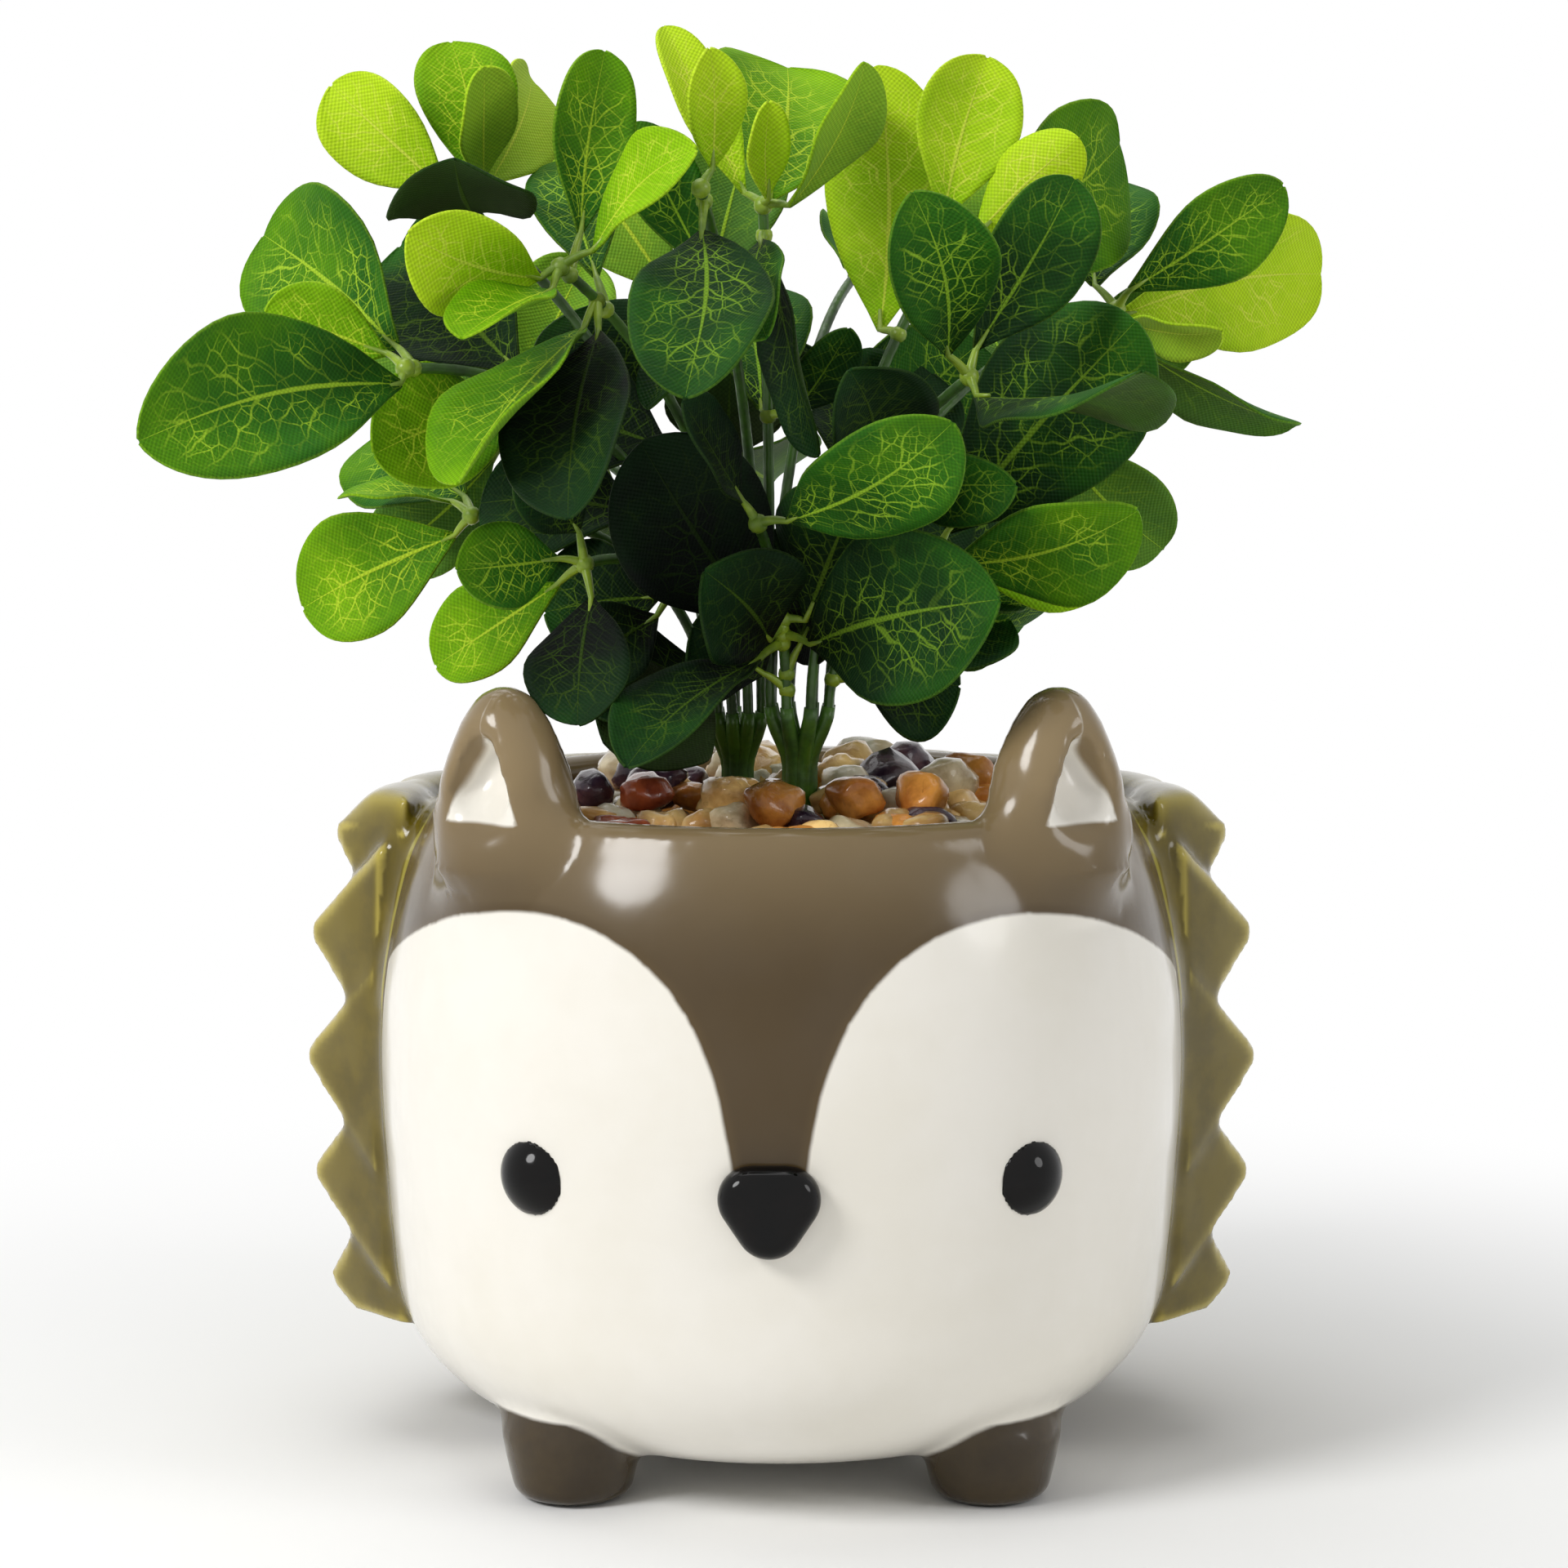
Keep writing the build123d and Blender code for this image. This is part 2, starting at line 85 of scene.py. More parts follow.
def colorStops(tree, value, stops):
    node = put(tree, "ValToRGB", {"Fac": value})
    elements = node.color_ramp.elements
    elements[0].position, elements[0].color = stops[0]
    elements[1].position, elements[1].color = stops[-1]
    for place, color in stops[1:-1]:
        elements.new(place).color = color
    return node.outputs["Color"]


def newMaterial(name, **sockets):
    material = bpy.data.materials.new(name)
    material.use_nodes = True
    shader = material.node_tree.nodes["Principled BSDF"]
    for key, value in sockets.items():
        shader.inputs[key].default_value = value
    return material, material.node_tree, shader


def newGroup(name, inputs, outputs):
    group = bpy.data.node_groups.new(name, "ShaderNodeTree")
    for label, kind, value in inputs:
        socket = group.interface.new_socket(label, in_out="INPUT", socket_type=kind)
        if value is not None:
            socket.default_value = value
    for label, kind in outputs:
        group.interface.new_socket(label, in_out="OUTPUT", socket_type=kind)
    return group, group.nodes.new("NodeGroupInput").outputs, group.nodes.new("NodeGroupOutput").inputs


def useGroup(tree, group, ins):
    node = put(tree, "Group", node_tree=group)
    for key, value in ins.items():
        if isinstance(value, bpy.types.NodeSocket):
            tree.links.new(value, node.inputs[key])
        else:
            node.inputs[key].default_value = value
    return node.outputs


def cadCopy(*names):
    bm = bmesh.new()
    for name in names:
        bm.from_mesh(nodes[name].data)
    bmesh.ops.remove_doubles(bm, verts=bm.verts, dist=1e-6)
    return bm


def islands(bm):
    left = set(bm.verts)
    found = []
    for vert in bm.verts:
        if vert not in left:
            continue
        left.discard(vert)
        group, queue = [], [vert]
        while queue:
            here = queue.pop()
            group.append(here)
            for edge in here.link_edges:
                other = edge.other_vert(here)
                if other in left:
                    left.discard(other)
                    queue.append(other)
        found.append(group)
    return found


def makePiece(name, bm, body, replaced, materials, smooth=True):
    mesh = bpy.data.meshes.new(name)
    bm.to_mesh(mesh)
    bm.free()
    piece = bpy.data.objects.new(name, mesh)
    bpy.context.collection.objects.link(piece)
    for material in materials:
        mesh.materials.append(material)
    if smooth:
        mesh.shade_smooth()
    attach(piece, body)
    if replaced:
        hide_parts(*replaced)
    return piece


def softened(piece, voxel, rounds):
    remesh = piece.modifiers.new("remesh", "REMESH")
    remesh.mode = "VOXEL"
    remesh.voxel_size = voxel
    smooth = piece.modifiers.new("smooth", "SMOOTH")
    smooth.factor = 0.5
    smooth.iterations = rounds
    return applied(piece)


def applied(piece):
    graph = bpy.context.evaluated_depsgraph_get()
    mesh = bpy.data.meshes.new_from_object(piece.evaluated_get(graph))
    old = piece.data
    for material in old.materials:
        if material.name not in mesh.materials:
            mesh.materials.append(material)
    piece.modifiers.clear()
    piece.data = mesh
    mesh.shade_smooth()
    return mesh


def pointsOf(mesh):
    flat = np.empty(len(mesh.vertices) * 3)
    mesh.vertices.foreach_get("co", flat)
    return flat.reshape(-1, 3)


def normalsOf(mesh):
    flat = np.empty(len(mesh.vertices) * 3)
    mesh.vertex_normals.foreach_get("vector", flat)
    return flat.reshape(-1, 3)


def relax(mesh, chosen, rounds):
    bm = bmesh.new()
    bm.from_mesh(mesh)
    bm.verts.ensure_lookup_table()
    verts = [bm.verts[index] for index in np.flatnonzero(chosen)]
    for _ in range(rounds):
        bmesh.ops.smooth_vert(bm, verts=verts, factor=0.5, use_axis_x=True, use_axis_y=True, use_axis_z=True)
    bm.to_mesh(mesh)
    bm.free()
    mesh.shade_smooth()


def convexity(mesh):
    # how far each point stands out from the middle of its neighbours, in mm
    co = pointsOf(mesh) / mm
    ends = np.empty(len(mesh.edges) * 2, dtype=np.int32)
    mesh.edges.foreach_get("vertices", ends)
    ends = ends.reshape(-1, 2)
    total, count = np.zeros_like(co), np.zeros(len(co))
    for here, there in ((ends[:, 0], ends[:, 1]), (ends[:, 1], ends[:, 0])):
        np.add.at(total, here, co[there])
        np.add.at(count, here, 1)
    return ((co - total / count[:, None]) * normalsOf(mesh)).sum(1)


def pointValue(mesh, name, values):
    layer = mesh.attributes.new(name, "FLOAT", "POINT")
    layer.data.foreach_set("value", np.asarray(values, dtype=np.float32))


def dress(name, material):
    piece = nodes[name]
    if not piece.material_slots:
        piece.data.materials.append(material)
    for slot in piece.material_slots:
        slot.material = material


# shared shader effects

def mottleGroup():
    group, given, out = newGroup("mottle", [("Scale", "NodeSocketFloat", 60.0), ("Color", "NodeSocketColor", None),
                                            ("Shade", "NodeSocketColor", None), ("Amount", "NodeSocketFloat", 0.5)],
                                 [("Color", "NodeSocketColor"), ("Mask", "NodeSocketFloat")])
    place = put(group, "TexCoord").outputs["Object"]
    broad = put(group, "TexNoise", {"Vector": place, "Scale": given["Scale"], "Detail": 4.0, "Roughness": 0.6})
    mask = ramp(group, broad.outputs["Fac"], 0.35, 0.68)
    fac = calc(group, "MULTIPLY", mask, given["Amount"])
    group.links.new(blendColor(group, fac, given["Color"], given["Shade"]), out["Color"])
    group.links.new(mask, out["Mask"])
    return group


def weaveGroup():
    group, given, out = newGroup("clothWeave", [("Vector", "NodeSocketVector", None), ("Pitch", "NodeSocketFloat", 0.45)],
                                 [("Height", "NodeSocketFloat")])
    parts = put(group, "SeparateXYZ", {0: given["Vector"]})
    threads = []
    for axis in (0, 1):
        turn = calc(group, "DIVIDE", parts.outputs[axis], given["Pitch"])
        threads.append(calc(group, "SINE", calc(group, "MULTIPLY", turn, math.tau)))
    crossed = calc(group, "MULTIPLY", threads[0], threads[1])
    group.links.new(calc(group, "MULTIPLY_ADD", crossed, 0.5, 0.5), out["Height"])
    return group


def veinGroup():
    group, given, out = newGroup("printedVeins", [("Cloth", "NodeSocketVector", None), ("Blade", "NodeSocketVector", None)],
                                 [("Veins", "NodeSocketFloat"), ("Midrib", "NodeSocketFloat")])
    wobble = put(group, "TexNoise", {"Vector": given["Cloth"], "Scale": 0.3, "Detail": 1.0}, noise_dimensions="2D")
    lift = put(group, "VectorMath", {0: wobble.outputs["Color"], 1: (0.7, 0.7, 0.0)}, operation="MULTIPLY")
    warped = put(group, "VectorMath", {0: given["Cloth"], 1: lift.outputs[0]}, operation="ADD").outputs[0]
    patch = put(group, "TexNoise", {"Vector": given["Cloth"], "Scale": 0.14, "Detail": 3.0}, noise_dimensions="2D")
    kept = ramp(group, patch.outputs["Fac"], 0.36, 0.6)
    # a coarse net, and a finer one where the print is strong
    nets = []
    for scale, line in ((0.4, 0.045), (0.74, 0.055)):
        net = put(group, "TexVoronoi", {"Vector": warped, "Scale": scale, "Randomness": 0.95},
                  voronoi_dimensions="2D", feature="DISTANCE_TO_EDGE")
        nets.append(ramp(group, net.outputs["Distance"], line, 0.4 * line))
    fine = calc(group, "MULTIPLY", nets[1], calc(group, "MULTIPLY_ADD", kept, 0.45, 0.05))
    blade = put(group, "SeparateXYZ", {0: given["Blade"]})
    across = calc(group, "ABSOLUTE", blade.outputs[0])
    # side veins slant forward from the midrib
    slant = calc(group, "MULTIPLY_ADD", across, -0.34, blade.outputs[1])
    wave = calc(group, "PINGPONG", calc(group, "MULTIPLY_ADD", wobble.outputs["Fac"], 0.1, slant), 0.075)
    side = ramp(group, wave, 0.011, 0.003)
    lines = calc(group, "MAXIMUM", calc(group, "MAXIMUM", nets[0], fine), side)
    # the print breaks up and fades towards the margin
    rim = ramp(group, across, 0.98, 0.5)
    top = ramp(group, blade.outputs[1], 1.0, 0.78)
    shown = calc(group, "MULTIPLY", calc(group, "MULTIPLY", rim, top), calc(group, "MULTIPLY_ADD", kept, 0.75, 0.25))
    group.links.new(calc(group, "MULTIPLY", lines, shown, clamp=True), out["Veins"])
    taper = ramp(group, blade.outputs[1], 0.0, 0.95, 0.075, 0.012)
    rib = calc(group, "SUBTRACT", 1.0, calc(group, "DIVIDE", across, taper), clamp=True)
    group.links.new(ramp(group, rib, 0.0, 0.55), out["Midrib"])
    return group


mottle = mottleGroup()
clothWeave = weaveGroup()
printedVeins = veinGroup()
print("shader groups ready")


# ceramic pot: body, coat, ears and feet fired as one

potLook = dict(
    voxel=0.88 * mm, rounds=6, slip=0.16 * mm, keptShare=0.7, thinBelow=82.0,
    # the lighter taupe painted towards the top is partly thin glaze and partly painted highlight
    taupe=srgb(76, 61, 37), taupeShade=srgb(68, 54, 32), taupeThinAndHighlight=srgb(146, 126, 92), thinGlazeAndHighlightHeights=(0.07, 0.1), cream=srgb(239, 235, 226), creamShade=srgb(230, 225, 212),
    olive=srgb(104, 90, 20), oliveShade=srgb(84, 72, 14), oliveRidgeAndHighlight=srgb(172, 156, 70), brownLine=srgb(82, 66, 40),
    greenLine=srgb(158, 148, 66), foot=srgb(70, 58, 38), footShade=srgb(54, 44, 30),
    # upper edge of the cream face: angle from the nose in degrees and height in mm
    faceEdge=((0.0, 38.0), (4.4, 45.0), (5.5, 51.8), (6.7, 57.4), (8.9, 63.2), (12.5, 68.8), (17.0, 72.8), (22.6, 75.8),
              (30.5, 77.8), (39.0, 78.2), (49.5, 76.9), (60.5, 74.2), (72.0, 70.2), (88.0, 63.5)),
    faceTurn=-1.6, faceSide=81.0, coatStart=83.4, coatLow=15.0, coatHigh=89.0,
    earAngle=50.0, earFace=35.0, earRadius=43.6, patchLow=88.7, patchHigh=99.8, patchHalf=5.7, patchShift=-0.1,
    ridgeRise=0.09, footPlace=27.0, footRadius=14.0, filletGrow=9, filletRounds=140, earRounds=9, earSoft=91.0, lipLow=84.5, earHalf=13.0, ledgeTop=92.5, ledgeRounds=120,
    cheekAngle=90.0, cheekHalf=11.0, cheekLow=60.0, cheekDepth=2.4, cheekRounds=40, seamLow=83.5, seamReach=45.0, seamRounds=14, footTop=12.4, footRounds=10,
)


def smoothCurve(places, values, xs):
    # cubic through the given places
    places, values = np.array(places), np.array(values)
    slopes = np.gradient(values, places)
    k = np.clip(np.searchsorted(places, xs) - 1, 0, len(places) - 2)
    span = places[k + 1] - places[k]
    t = np.clip((xs - places[k]) / span, 0, 1)
    return ((2 * t ** 3 - 3 * t ** 2 + 1) * values[k] + (t ** 3 - 2 * t ** 2 + t) * span * slopes[k]
            + (3 * t ** 2 - 2 * t ** 3) * values[k + 1] + (t ** 3 - t ** 2) * span * slopes[k + 1])


def glazeMaterial(look):
    material, tree, shader = newMaterial("hedgehogGlaze", Roughness=0.25, IOR=1.36)
    shader.inputs["Specular IOR Level"].default_value = 0.12
    shader.inputs["Coat Roughness"].default_value = 0.14
    shader.inputs["Coat IOR"].default_value = 1.36

    def read(name):
        return put(tree, "Attribute", attribute_name=name).outputs["Fac"]
    face, coat, ear, foot, ridgeAndHighlight = read("faceEdge"), read("coatEdge"), read("earPatch"), read("footEdge"), read("ridgeAndHighlight")
    taupe = useGroup(tree, mottle, {"Scale": 38.0, "Color": look["taupe"], "Shade": look["taupeShade"], "Amount": 0.6})
    cream = useGroup(tree, mottle, {"Scale": 30.0, "Color": look["cream"], "Shade": look["creamShade"], "Amount": 0.6})
    olive = useGroup(tree, mottle, {"Scale": 130.0, "Color": look["olive"], "Shade": look["oliveShade"], "Amount": 0.8})
    brown = useGroup(tree, mottle, {"Scale": 90.0, "Color": look["foot"], "Shade": look["footShade"], "Amount": 0.8})
    # the coat is painted lighter on the ridges and spine tips: partly thin glaze, partly painted highlight along the
    # ridges
    oliveRunAndHighlight = blendColor(tree, ramp(tree, ridgeAndHighlight, 0.1, 0.9), olive["Color"], look["oliveRidgeAndHighlight"])
    wander = put(tree, "TexNoise", {"Vector": put(tree, "TexCoord").outputs["Object"], "Scale": 160.0, "Detail": 2.0})
    drift = calc(tree, "MULTIPLY_ADD", wander.outputs["Fac"], 0.4, -0.2)
    faceRun = calc(tree, "ADD", face, drift)
    coatRun = calc(tree, "ADD", coat, drift)
    height = put(tree, "SeparateXYZ", {0: put(tree, "TexCoord").outputs["Object"]}).outputs[2]
    # taupe painted lighter towards the rim and ears with height: partly thinner glaze, partly painted highlight
    thinnedAndHighlight = blendColor(tree, ramp(tree, height, *look["thinGlazeAndHighlightHeights"], 0.0, 0.85), taupe["Color"], look["taupeThinAndHighlight"])
    color = blendColor(tree, ramp(tree, faceRun, -1.6, -0.2), thinnedAndHighlight, look["brownLine"])
    color = blendColor(tree, ramp(tree, faceRun, -0.3, 0.4), color, cream["Color"])
    color = blendColor(tree, ramp(tree, calc(tree, "ADD", ear, drift), -0.3, 0.3), color, cream["Color"])
    color = blendColor(tree, ramp(tree, coatRun, -1.2, -0.8), color, look["greenLine"])
    color = blendColor(tree, ramp(tree, coatRun, -0.2, 0.4), color, oliveRunAndHighlight)
    color = blendColor(tree, ramp(tree, calc(tree, "ADD", foot, drift), -0.3, 0.4), color, brown["Color"])
    tree.links.new(color, shader.inputs["Base Color"])
    fine = put(tree, "TexNoise", {"Vector": put(tree, "TexCoord").outputs["Object"], "Scale": 90.0, "Detail": 3.0})
    tree.links.new(ramp(tree, fine.outputs["Fac"], 0.3, 0.7, 0.75, 1.0), shader.inputs["Coat Weight"])
    bump = put(tree, "Bump", {"Height": fine.outputs["Fac"], "Strength": 0.12, "Distance": 0.0012})
    tree.links.new(bump.outputs["Normal"], shader.inputs["Normal"])
    return material


def buildPot(look):
    bm = cadCopy("pot_body")
    bm.normal_update()
    for vert in bm.verts:
        vert.co += vert.normal * look["slip"]  # laps into what is luted on
    parts = ["spine_coat", "left_ear", "right_ear"]
    parts += [side + "_foot" for side in ("front_left", "front_right", "rear_left", "rear_right")]
    for name in parts:
        bm.from_mesh(nodes[name].data)
    bmesh.ops.remove_doubles(bm, verts=bm.verts, dist=1e-6)
    piece = makePiece("hedgehogPot", bm, "pot", ["pot_body", *parts], [glazeMaterial(look)])
    softened(piece, look["voxel"], look["rounds"])
    mesh = thinInside(piece, look)
    filletEars(mesh, look)
    tuckFeet(mesh, look)
    co = pointsOf(mesh) / mm
    x, y, z = co.T
    reach = np.hypot(x, y)
    turned = np.degrees(np.arctan2(x, -y))
    angle = np.abs(turned)
    fromNose = np.abs(turned - look["faceTurn"])
    edgeAngles, edgeHeights = zip(*look["faceEdge"])
    curveAngles = np.concatenate([np.linspace(0, 10, 500), np.linspace(10, 90, 320)])
    curve = np.stack([np.radians(curveAngles) * 52.0, smoothCurve(edgeAngles, edgeHeights, curveAngles)], 1)
    here = np.stack([np.radians(fromNose) * 52.0, z], 1)
    distance = np.full(len(co), 1e9)
    for spot in curve:
        distance = np.minimum(distance, np.hypot(here[:, 0] - spot[0], here[:, 1] - spot[1]))
    below = z < smoothCurve(edgeAngles, edgeHeights, np.clip(fromNose, 0, 90))
    signed = np.where(below, distance, -distance)
    signed = np.minimum(signed, np.radians(look["faceSide"] - angle) * reach)
    inside = innerWall(mesh)
    signed = np.where(inside | (z > 82), -5.0, signed)
    pointValue(mesh, "faceEdge", np.clip(signed, -5, 5))
    body = np.interp(z, (5.5, 12.9, 24.8, 50, 78, 87), (30.0, 46.0, 51.6, 53.4, 50.0, 46.3))
    proud = reach - body
    onCoat = (z > look["coatLow"]) & (z < look["coatHigh"]) & (reach > 45.5)
    coat = np.where(onCoat | (proud > 1.2) & (z > look["coatLow"] - 6), np.radians(angle - look["coatStart"]) * reach, -5.0)
    pointValue(mesh, "coatEdge", np.clip(np.where(inside & (proud < 0), -5.0, coat), -5, 5))
    # lighter on convex ridges and proud spine tips: partly thin glaze, partly painted highlight
    pointValue(mesh, "ridgeAndHighlight", np.clip(0.3 * proud / 11.0 + 0.8 * convexity(mesh) / look["ridgeRise"], 0, 1))
    patch = np.full(len(co), -5.0)
    for side in (-1, 1):
        ahead, along = earPlace(x, y, side, look)
        rise = (z - look["patchLow"]) / (look["patchHigh"] - look["patchLow"])
        half = look["patchHalf"] * np.clip(1.0 - rise, 0, 1) ** 0.8
        own = np.minimum(half - np.abs(along - look["patchShift"]), (z - look["patchLow"]))
        patch = np.maximum(patch, np.where(ahead > 2.0, own, -5.0))
    pointValue(mesh, "earPatch", np.clip(patch, -5, 5))
    # feet are brown up to where they leave the rounded underside
    under = np.minimum(underSide(reach), look["footTop"])
    pointValue(mesh, "footEdge", np.clip(np.where(nearFeet(x, y, look), under - 0.5 - z, -5.0), -5, 5))
    return piece


def innerWall(mesh):
    x, y, z = (pointsOf(mesh) / mm).T
    reach = np.hypot(x, y)
    return ((normalsOf(mesh)[:, :2] * np.stack([x, y], 1)).sum(1) < -0.1 * reach) & (z > 9) & (reach < 51)


def thinInside(piece, look):
    # few faces are enough inside the pot
    z = pointsOf(piece.data)[:, 2] / mm
    group = piece.vertex_groups.new(name="inside")
    group.add(np.flatnonzero(innerWall(piece.data) & (z < look["thinBelow"])).tolist(), 1.0, "REPLACE")
    thin = piece.modifiers.new("thin", "DECIMATE")
    thin.ratio = look["keptShare"]
    thin.vertex_group = group.name
    mesh = applied(piece)
    piece.vertex_groups.clear()
    return mesh


def underSide(reach):
    # height of the rounded underside of the body
    return 30.87 - np.sqrt(25.37 ** 2 - np.clip(reach - 28, 0, 18) ** 2) + 2.1 * np.clip(reach - 46, 0, None)


def nearFeet(x, y, look):
    return np.hypot(np.abs(x) - look["footPlace"], np.abs(y) - look["footPlace"]) < look["footRadius"]


def tuckFeet(mesh, look):
    # the top of a foot is trimmed flush with the body, whose outline is read between the front feet
    co = pointsOf(mesh) / mm
    x, y, z = co.T
    reach = np.hypot(x, y)
    front = (y < 0) & (np.abs(x) < 9)
    levels, outline = np.arange(7.0, 25.0, 0.5), []
    for level in levels:
        band = reach[front & (np.abs(z - level) < 0.5)]
        outline.append(band[band > band.max() - 1.0].mean())
    skin = np.interp(z, levels, outline)
    proud = nearFeet(x, y, look) & (reach > skin) & (z > look["footTop"] - 3) & (z < 24)
    share = np.clip((z - look["footTop"] + 3) / 3, 0, 1)
    scale = np.where(proud, 1 + share * (skin / reach - 1), 1.0)
    co[:, 0], co[:, 1] = x * scale, y * scale
    mesh.vertices.foreach_set("co", (co * mm).ravel())
    mesh.update()
    relax(mesh, nearFeet(x, y, look) & (z > 6) & (z < 19) & (reach > 24), look["footRounds"])


def earPlace(x, y, side, look):
    # how far a point is ahead of the ear's axis, and along its face
    turn, facing = math.radians(look["earAngle"]), math.radians(look["earFace"])
    centerX, centerY = side * look["earRadius"] * math.sin(turn), -look["earRadius"] * math.cos(turn)
    ahead = (x - centerX) * side * math.sin(facing) - (y - centerY) * math.cos(facing)
    along = (x - centerX) * side * math.cos(facing) + (y - centerY) * math.sin(facing)
    return ahead, along


def filletEars(mesh, look):
    # the wet clay is smoothed over where the ears meet the rim and the brow
    co = pointsOf(mesh) / mm
    x, y, z = co.T
    reach = np.hypot(x, y)
    ahead, along = earPlace(x, y, np.sign(x), look)
    hollow = (ahead > 1.5) & (np.abs(along) < 7.5) & (z > 85.5)
    near = (z > 74) & (z < 97) & (y < 12) & (np.abs(x) > 20) & (np.abs(x) < 56) & (np.hypot(ahead, along) < 24)
    picked = near & ~hollow & ~((z > 85) & (reach < 44.2)) & (convexity(mesh) < -0.008)
    ends = np.empty(len(mesh.edges) * 2, dtype=np.int32)
    mesh.edges.foreach_get("vertices", ends)
    first, second = ends.reshape(-1, 2).T
    for _ in range(look["filletGrow"]):
        grown = picked.copy()
        grown[first] |= picked[second]
        grown[second] |= picked[first]
        picked = grown
    # the lip of the rim keeps its form beside the ears
    relax(mesh, picked & ((z < look["lipLow"]) | (np.abs(along) < look["earHalf"])), look["filletRounds"])
    relax(mesh, (ahead > 0.8) & (np.abs(along) < 9.5) & (z > 83) & (z < look["ledgeTop"]) & (y < 0), look["ledgeRounds"])
    relax(mesh, (z > look["earSoft"]) & (y < 0), look["earRounds"])
    # and where the coat meets the rim and the cheeks
    flank = np.interp(z, (5.5, 12.9, 24.8, 50, 78, 87), (30.0, 46.0, 51.6, 53.4, 50.0, 46.3))
    cheek = np.abs(np.abs(np.degrees(np.arctan2(x, -y))) - look["cheekAngle"]) < look["cheekHalf"]
    relax(mesh, cheek & (z > look["cheekLow"]) & (np.abs(reach - flank) < look["cheekDepth"]), look["cheekRounds"])
    relax(mesh, (z > look["seamLow"]) & (y > -0.12 * np.abs(x)) & (reach > look["seamReach"]), look["seamRounds"])


pot = buildPot(potLook)
print("pot:", sum(len(face.vertices) - 2 for face in pot.data.polygons), "triangles")


# black nose and eyes

faceLook = dict(voxel=0.3 * mm, rounds=4, black=srgb(8, 8, 8), brown=srgb(18, 14, 13))


def blackGlaze(look):
    material, tree, shader = newMaterial("blackGlaze", Roughness=0.08, IOR=1.36)
    shader.inputs["Specular IOR Level"].default_value = 0.3
    shade = useGroup(tree, mottle, {"Scale": 160.0, "Color": look["black"], "Shade": look["brown"], "Amount": 0.5})
    tree.links.new(shade["Color"], shader.inputs["Base Color"])
    tree.links.new(ramp(tree, shade["Mask"], 0.0, 1.0, 0.06, 0.12), shader.inputs["Roughness"])
    return material


faceGlaze = blackGlaze(faceLook)
for node, label in (("nose", "nosePad"), ("left_eye", "leftEye"), ("right_eye", "rightEye")):
    featurePiece = makePiece(label, cadCopy(node), "pot", [node], [faceGlaze])
    softened(featurePiece, faceLook["voxel"], faceLook["rounds"])
print("nose and eyes done")


# pebbles, foam and gravel

pebbleLook = dict(
    swell=(1.16, 1.16, 1.08), lumps=0.34, seed=41, boreRadius=40.7,
    # small stones settled between the large ones: how many of each colour, and their size in mm
    small=dict(tan=34, amber=18, dark=10, grey=8, white=10, red=5), smallSize=(2.3, 3.5), spread=37.5, bedLevel=86.2, heap=3.4,
    stemRoom=4.4,
    tan=(srgb(240, 202, 132), srgb(194, 144, 80)), amber=(srgb(228, 156, 72), srgb(176, 106, 46)),
    dark=(srgb(84, 60, 66), srgb(34, 18, 38)), grey=(srgb(208, 192, 156), srgb(162, 142, 108)),
    white=(srgb(250, 242, 220), srgb(228, 208, 166)), red=(srgb(188, 96, 58), srgb(124, 54, 36)),
)


def pebbleMaterial(name, colors):
    material, tree, shader = newMaterial(name + "Stone", Roughness=0.22, IOR=1.38)
    shader.inputs["Specular IOR Level"].default_value = 0.2
    shader.inputs["Coat Roughness"].default_value = 0.05
    shader.inputs["Coat IOR"].default_value = 1.28
    stone = useGroup(tree, mottle, {"Scale": 210.0, "Color": colors[0], "Shade": colors[1], "Amount": 0.95})
    place = put(tree, "TexCoord").outputs["Object"]
    seams = put(tree, "TexNoise", {"Vector": place, "Scale": 520.0, "Detail": 5.0, "Roughness": 0.7, "Distortion": 1.2})
    pits = ramp(tree, seams.outputs["Fac"], 0.56, 0.7, 0.0, 0.55)
    tone = put(tree, "Attribute", attribute_name="tone").outputs["Fac"]
    shifted = put(tree, "HueSaturation", {"Hue": 0.5, "Saturation": 1.0, "Value": tone, "Fac": 1.0, "Color": stone["Color"]})
    tree.links.new(blendColor(tree, pits, shifted.outputs[0], colors[1]), shader.inputs["Base Color"])
    tree.links.new(ramp(tree, seams.outputs["Fac"], 0.3, 0.7, 0.9, 0.5), shader.inputs["Coat Weight"])
    bump = put(tree, "Bump", {"Height": seams.outputs["Fac"], "Strength": 0.25, "Distance": 0.0005})
    tree.links.new(bump.outputs["Normal"], shader.inputs["Normal"])
    return material


def addStone(bm, toneLayer, middle, half, swell, luck, look):
    made = bmesh.ops.create_icosphere(bm, subdivisions=3, radius=1.0)["verts"]
    shift = Vector([luck.uniform(-40, 40) for _ in range(3)])
    turn = Matrix.Rotation(luck.uniform(0, math.tau), 3, "Z") @ Matrix.Rotation(luck.uniform(-0.5, 0.5), 3, "X")
    stretch = Vector((luck.uniform(1.0, 1.3), luck.uniform(0.75, 1.0), luck.uniform(0.85, 1.08)))
    tone = luck.uniform(0.75, 1.25)
    for vert in made:
        bulge = 1.0 + look["lumps"] * (noise.noise(vert.co * 0.9 + shift) + 0.5 * noise.noise(vert.co * 1.9 + shift))
        shape = Vector([math.copysign(abs(c) ** 0.84, c) for c in vert.co]) * bulge
        spun = turn @ Vector([a * b for a, b in zip(shape, stretch)])
        vert.co = middle + Vector([a * b * c for a, b, c in zip(spun, half, swell)])
        out = math.hypot(vert.co.x, vert.co.y) / (look["boreRadius"] * mm)
        if out > 1.0:
            vert.co.x, vert.co.y = vert.co.x / out, vert.co.y / out  # lies against the wall
        vert[toneLayer] = tone


